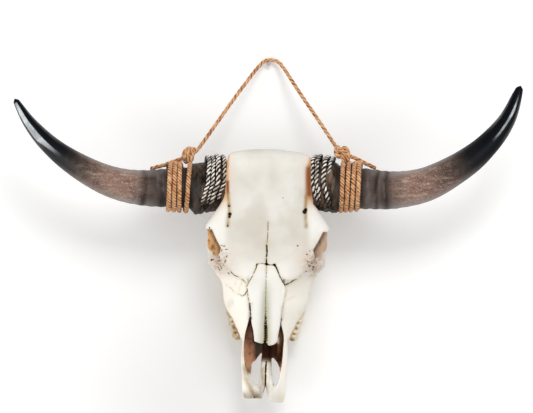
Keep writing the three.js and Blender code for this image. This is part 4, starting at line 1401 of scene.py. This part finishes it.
TOOTH_COLOURS = [(0, (150, 108, 66)), (0.4, (208, 174, 128)), (1, (240, 226, 194))]


def tooth_material():
    g = Graph("painted_tooth")
    streak = g.noise(240, 3, 0.6, (1, 0.25, 0.6))
    clean = g.attribute("clean")
    g.colour = g.colours(g.ramp(streak, 0.28, 0.72), TOOTH_COLOURS)
    g.coat(clean * 0.65, (240, 230, 208))
    # Painted shade in what is shut in, weaker on the clean right row.
    g.coat(g.ramp(g.attribute("shut"), 0.3, 0.85, 0, 0.8) * g.ramp(clean, 0, 1, 1, 0.5), (104, 70, 40))
    g.bump(streak, 0.0002, 0.4)
    return g.finish(0.42)


# Colours along a horn, as shares of HORN_PAINT_LENGTH.
HORN_COLOURS = [
    (0, (36, 29, 25)), (0.14, (66, 58, 54)), (0.24, (100, 86, 79)), (0.31, (116, 94, 84)),
    (0.36, (142, 112, 98)), (0.44, (132, 104, 91)), (0.5, (104, 83, 73)), (0.56, (58, 49, 45)),
    (0.62, (24, 23, 26)), (0.72, (11, 14, 20)), (1, (8, 10, 16)),
]
HORN_PAINT_LENGTH = 240


def horn_material():
    """Brown at the base to black at the tip, with fibres along it, a painted grey sheen on its top and bottom
    edges, and varnish on part of it.
    """
    g = Graph("painted_horn")
    along = g.attribute("along")
    across = g.noise(130, 4, 0.65, (1, 0.3, 0.3))
    lengthwise = g.noise(330, 4, 0.7, (0.16, 1, 0.7))
    wander = (g.noise(42, 4, 0.6) - 0.5) * 34 + (across - 0.5) * 26
    at = (along + wander * g.ramp(along, 56, 92, 0.3)) / HORN_PAINT_LENGTH
    past_base = g.ramp(along, 60, 84)
    g.colour = g.colours(at, HORN_COLOURS)
    g.coat(g.ramp(lengthwise, 0.5, 0.7) * g.ramp(along, 150, 90, 0, 0.6) * past_base, (196, 174, 158))
    g.coat(g.ramp(lengthwise, 0.48, 0.3) * g.ramp(along, 160, 90, 0, 0.5), (70, 44, 36))

    # Dark rings near the base, a painted grey sheen on the top and bottom edges, and brown brushed over the
    # burr and the base.
    near_base = g.ramp(along, 76, 62)
    along_only = g.node("CombineXYZ", {"X": along})["Vector"]
    g.coat(g.ramp(g.noise(0.14, 2, 0.5, place=along_only), 0.44, 0.6) * near_base * 0.4, (24, 19, 17))
    g.coat(g.attribute("edge") * 0.6, (158, 154, 152))
    g.coat(g.attribute("ring") * g.ramp(across, 0.3, 0.6, 0.95, 0.6), (34, 27, 24))
    g.coat(near_base * g.ramp(across, 0.5, 0.68, 0, 0.35), (132, 120, 114))
    pores = g.ramp(g.noise(620, 3, 0.6), 0.54, 0.66) * g.ramp(along, 140, 100, 0, 0.45)
    g.coat(pores * past_base, (206, 186, 172))
    g.coat(g.attribute("burr"), (24, 17, 14))
    g.coat(g.attribute("dry") * g.ramp(across, 0.38, 0.62), (136, 112, 94))
    g.bump(lengthwise * 0.4 + across * 0.6, 0.00035, 0.35)
    varnish = g.attribute("gloss") * 0.9 * g.ramp(g.noise(70, 4, 0.65), 0.36, 0.6, 0.55)
    return g.finish(0.5, specular=0.05, coat=varnish, coat_roughness=0.09, sheen=0.08)


def moulded_rope_material():
    g = Graph("moulded_rope")
    crest = g.attribute("crest")
    wear = g.noise(300, 4, 0.65)
    # Dark brown paint, near black in the valleys and on the side against the horn as painted shade.
    g.colour = g.mix(g.ramp(crest, 0.2, 0.65), (6, 4, 3), (58, 38, 28))
    # Dry-brushed pale paint on the crests, kept to the top and front partly as painted highlight.
    brushed = g.ramp(crest + (wear - 0.5) * 1.4, 0.7, 0.86) * g.ramp(g.noise(110, 2, 0.5), 0.34, 0.56, 0.4)
    up = g.ramp(g.part(g.place, "Z"), *BAND_FADE)
    front = g.ramp(g.part(g.node("NewGeometry", {})["Normal"], "Y"), 0.5, -0.2, 0.15)
    g.coat(brushed * up * front, (255, 250, 240))
    g.bump(g.noise(1.2, 3, 0.6, (1, 1, 0.3), g.direction("spin")), 0.0005, 0.6)
    return g.finish(0.42)


def twine_material():
    g = Graph("twine")
    fibre = g.noise(0.8, 4, 0.75, (1, 1, 0.3), g.direction("spin"))
    patch = g.noise(240, 3, 0.6)
    # Painted shade: dark in the valleys between strands and on the side against the horn.
    g.colour = g.mix(g.ramp(g.attribute("crest"), 0.2, 0.92), (48, 21, 8), (222, 156, 106))
    g.coat(g.ramp(fibre, 0.5, 0.66, 0, 0.9), (252, 214, 168))
    g.coat(g.ramp(fibre, 0.47, 0.32, 0, 0.85), (104, 56, 26))
    g.coat(g.ramp(patch, 0.48, 0.64, 0, 0.5), (246, 200, 150))
    g.coat(g.ramp(patch, 0.44, 0.3, 0, 0.5), (140, 82, 44))
    g.bump(fibre, 0.0006, 0.9)
    return g.finish(0.85, specular=0.25, sheen=0.12)


# ---------------------------------------------------------------- stage and light

STAGE_REACH, FLOOR_LEVEL, WALL_GAP = 6.0, -1.7, 0.0005
WALL_COLOUR, WALL_GLOW = (0.97, 0.968, 0.962), 0.1
FLOOR_COLOUR, NAIL_COLOUR = (0.9, 0.9, 0.89), (0.5, 0.5, 0.5)
WORLD_STRENGTH = 0.56
# A soft shade painted on the wall beside the snout: its middle, its reach and its colour.
HAZE_MIDDLE, HAZE_REACH, HAZE_COLOUR = (-0.07, 0, -0.325), 0.2, (0.76, 0.755, 0.745)
NAIL_SIDES, NAIL_DROP = 16, 1.2
NAIL_RINGS = [(0, 1), (-3.4, 1), (-3.6, 2.2), (-4.4, 2.1), (-4.6, 0.1)]  # y and radius
AIM = (0, 0, -0.17)  # the middle of the hanging
# Lamps: place, size, power.
LAMPS = {
    "key": ((0.36, -1.6, 1.25), (0.9, 0.8), 19.5),
    "fill_left": ((-1.4, -1, -0.9), (1, 1), 7.5),
    "fill_right": ((1.4, -1, -0.8), (1, 1), 6),
    "cheek": ((-1.5, -1, -0.8), (1, 1), 9),
}


def matt_material(name, colour):
    g = Graph(name)
    g.colour = colour
    g.finish(0.9, specular=0)
    return g


def wall_material():
    """A matt wall that glows a little, with a painted shade beside the snout, and can't be seen from behind.
    """
    g = matt_material("wall_paint", WALL_COLOUR)
    # Painted shade: the wall greyer towards HAZE_MIDDLE, out to HAZE_REACH.
    distance = g.node("VectorMath", {0: g.place, 1: HAZE_MIDDLE}, operation="DISTANCE")["Value"]
    shares = {"Factor": g.ramp(distance, 0, HAZE_REACH), "A": HAZE_COLOUR, "B": WALL_COLOUR}
    g.plug(g.shader.inputs["Base Color"], g.node("Mix", shares, data_type="RGBA")["Result"])
    g.plug(g.shader.inputs["Emission Color"], WALL_COLOUR)
    g.plug(g.shader.inputs["Emission Strength"], WALL_GLOW)
    behind = g.node("NewGeometry", {})["Backfacing"]
    clear = g.node("BsdfTransparent", {})["BSDF"]
    shader = g.node("MixShader", {"Fac": behind, 1: g.shader.outputs["BSDF"], 2: clear})["Shader"]
    g.plug(g.nodes["Material Output"].inputs["Surface"], shader)
    return g.material


def add_stage_mesh(name, points, faces, material):
    mesh = bpy.data.meshes.new(name)
    mesh.from_pydata(points, [], faces)
    mesh.materials.append(material)
    piece = add_object(name, mesh)
    return piece


def make_stage():
    corners = [(-STAGE_REACH, 0), (STAGE_REACH, 0), (STAGE_REACH, 1), (-STAGE_REACH, 1)]
    wall_corners = [(x, WALL_GAP, STAGE_REACH if far else FLOOR_LEVEL) for x, far in corners]
    wall = add_stage_mesh("wall", wall_corners, [(0, 1, 2, 3)], wall_material())
    wall.visible_shadow = wall.visible_diffuse = False
    floor_corners = [(x, STAGE_REACH if far else -STAGE_REACH, FLOOR_LEVEL) for x, far in corners]
    floor_paint = matt_material("floor_paint", FLOOR_COLOUR).material
    add_stage_mesh("floor", floor_corners, [(0, 1, 2, 3)], floor_paint).visible_glossy = False

    # The nail belongs to the wall, so it is stage too.
    angles = [2 * math.pi * i / NAIL_SIDES for i in range(NAIL_SIDES)]
    points = [(radius * math.cos(a) / METRE, y / METRE, (radius * math.sin(a) - NAIL_DROP) / METRE)
              for y, radius in NAIL_RINGS for a in angles]
    faces = grid_faces(len(NAIL_RINGS), NAIL_SIDES).tolist()
    add_stage_mesh("nail", points, faces, matt_material("nail_steel", NAIL_COLOUR).material)


def add_light(name, place, aim, size, power, colour=(1, 1, 1), width_along=(1, 0, 0), only=None):
    """A rectangular lamp that faces aim, its width towards width_along. only is the one piece it lights."""
    data = bpy.data.lights.new(name, "AREA")
    data.shape = "RECTANGLE"
    data.size, data.size_y = size
    data.energy = power
    data.color = colour
    light = add_object(name, data)
    backward = (Vector(place) - Vector(aim)).normalized()
    upward = backward.cross(Vector(width_along)).normalized()
    turn = Matrix((upward.cross(backward), upward, backward)).transposed()
    light.matrix_world = Matrix.LocRotScale(Vector(place), turn, None)
    if only:
        lit = bpy.data.collections.new(name)
        lit.objects.link(only)
        light.light_linking.receiver_collection = lit
    return light


def make_lights(skull, horns):
    """A white world, soft lamps, and a card that shines in each horn."""
    world = bpy.data.worlds.new("studio")
    bpy.context.scene.world = world
    world.use_nodes = True
    background = world.node_tree.nodes["Background"]
    background.inputs["Color"].default_value = (1, 1, 1, 1)
    background.inputs["Strength"].default_value = WORLD_STRENGTH
    world.cycles_visibility.glossy = False
    for name, (place, size, power) in LAMPS.items():
        lamp = add_light(name, place, AIM, size, power, only=skull if name == "cheek" else None)
        lamp.visible_glossy = False

    # White cards that only show as reflections, each in one of the glossy horns.
    left = add_light("card_left", (-1, -0.842, -0.487), (-0.22, -0.07, 0), (2.7, 0.62), 105, (0.92, 0.97, 1),
                     width_along=(-0.545, 0.766, -0.341), only=horns["left"])
    right = add_light("card_right", (0.69, -1.2, -0.25), (0.22, -0.07, 0), (1.1, 0.34), 19, (0.9, 0.96, 1),
                      only=horns["right"])
    left.visible_diffuse = right.visible_diffuse = False
    view = bpy.context.scene.view_settings
    view.view_transform = "Standard"
    view.look = "None"
    view.exposure = 0


# ---------------------------------------------------------------- the whole hanging

SIDES = {"left": -1, "right": 1}

make_camera()
TWINE = twine_material()
make_hanging_cord(TWINE)
for NAME in SIDES:
    make_knot(NAME, TWINE)
SKULL = make_skull(bone_material())
TOOTH, HORN, ROPE = tooth_material(), horn_material(), moulded_rope_material()
HORNS = {NAME: make_horn(NAME, SIDE, HORN) for NAME, SIDE in SIDES.items()}
for NAME, SIDE in SIDES.items():
    make_teeth(NAME, SIDE, TOOTH)
    make_band(NAME, SIDE, ROPE)
    make_turns(NAME, SIDE, TWINE)
make_stage()
make_lights(SKULL, HORNS)

bpy.context.view_layer.update()
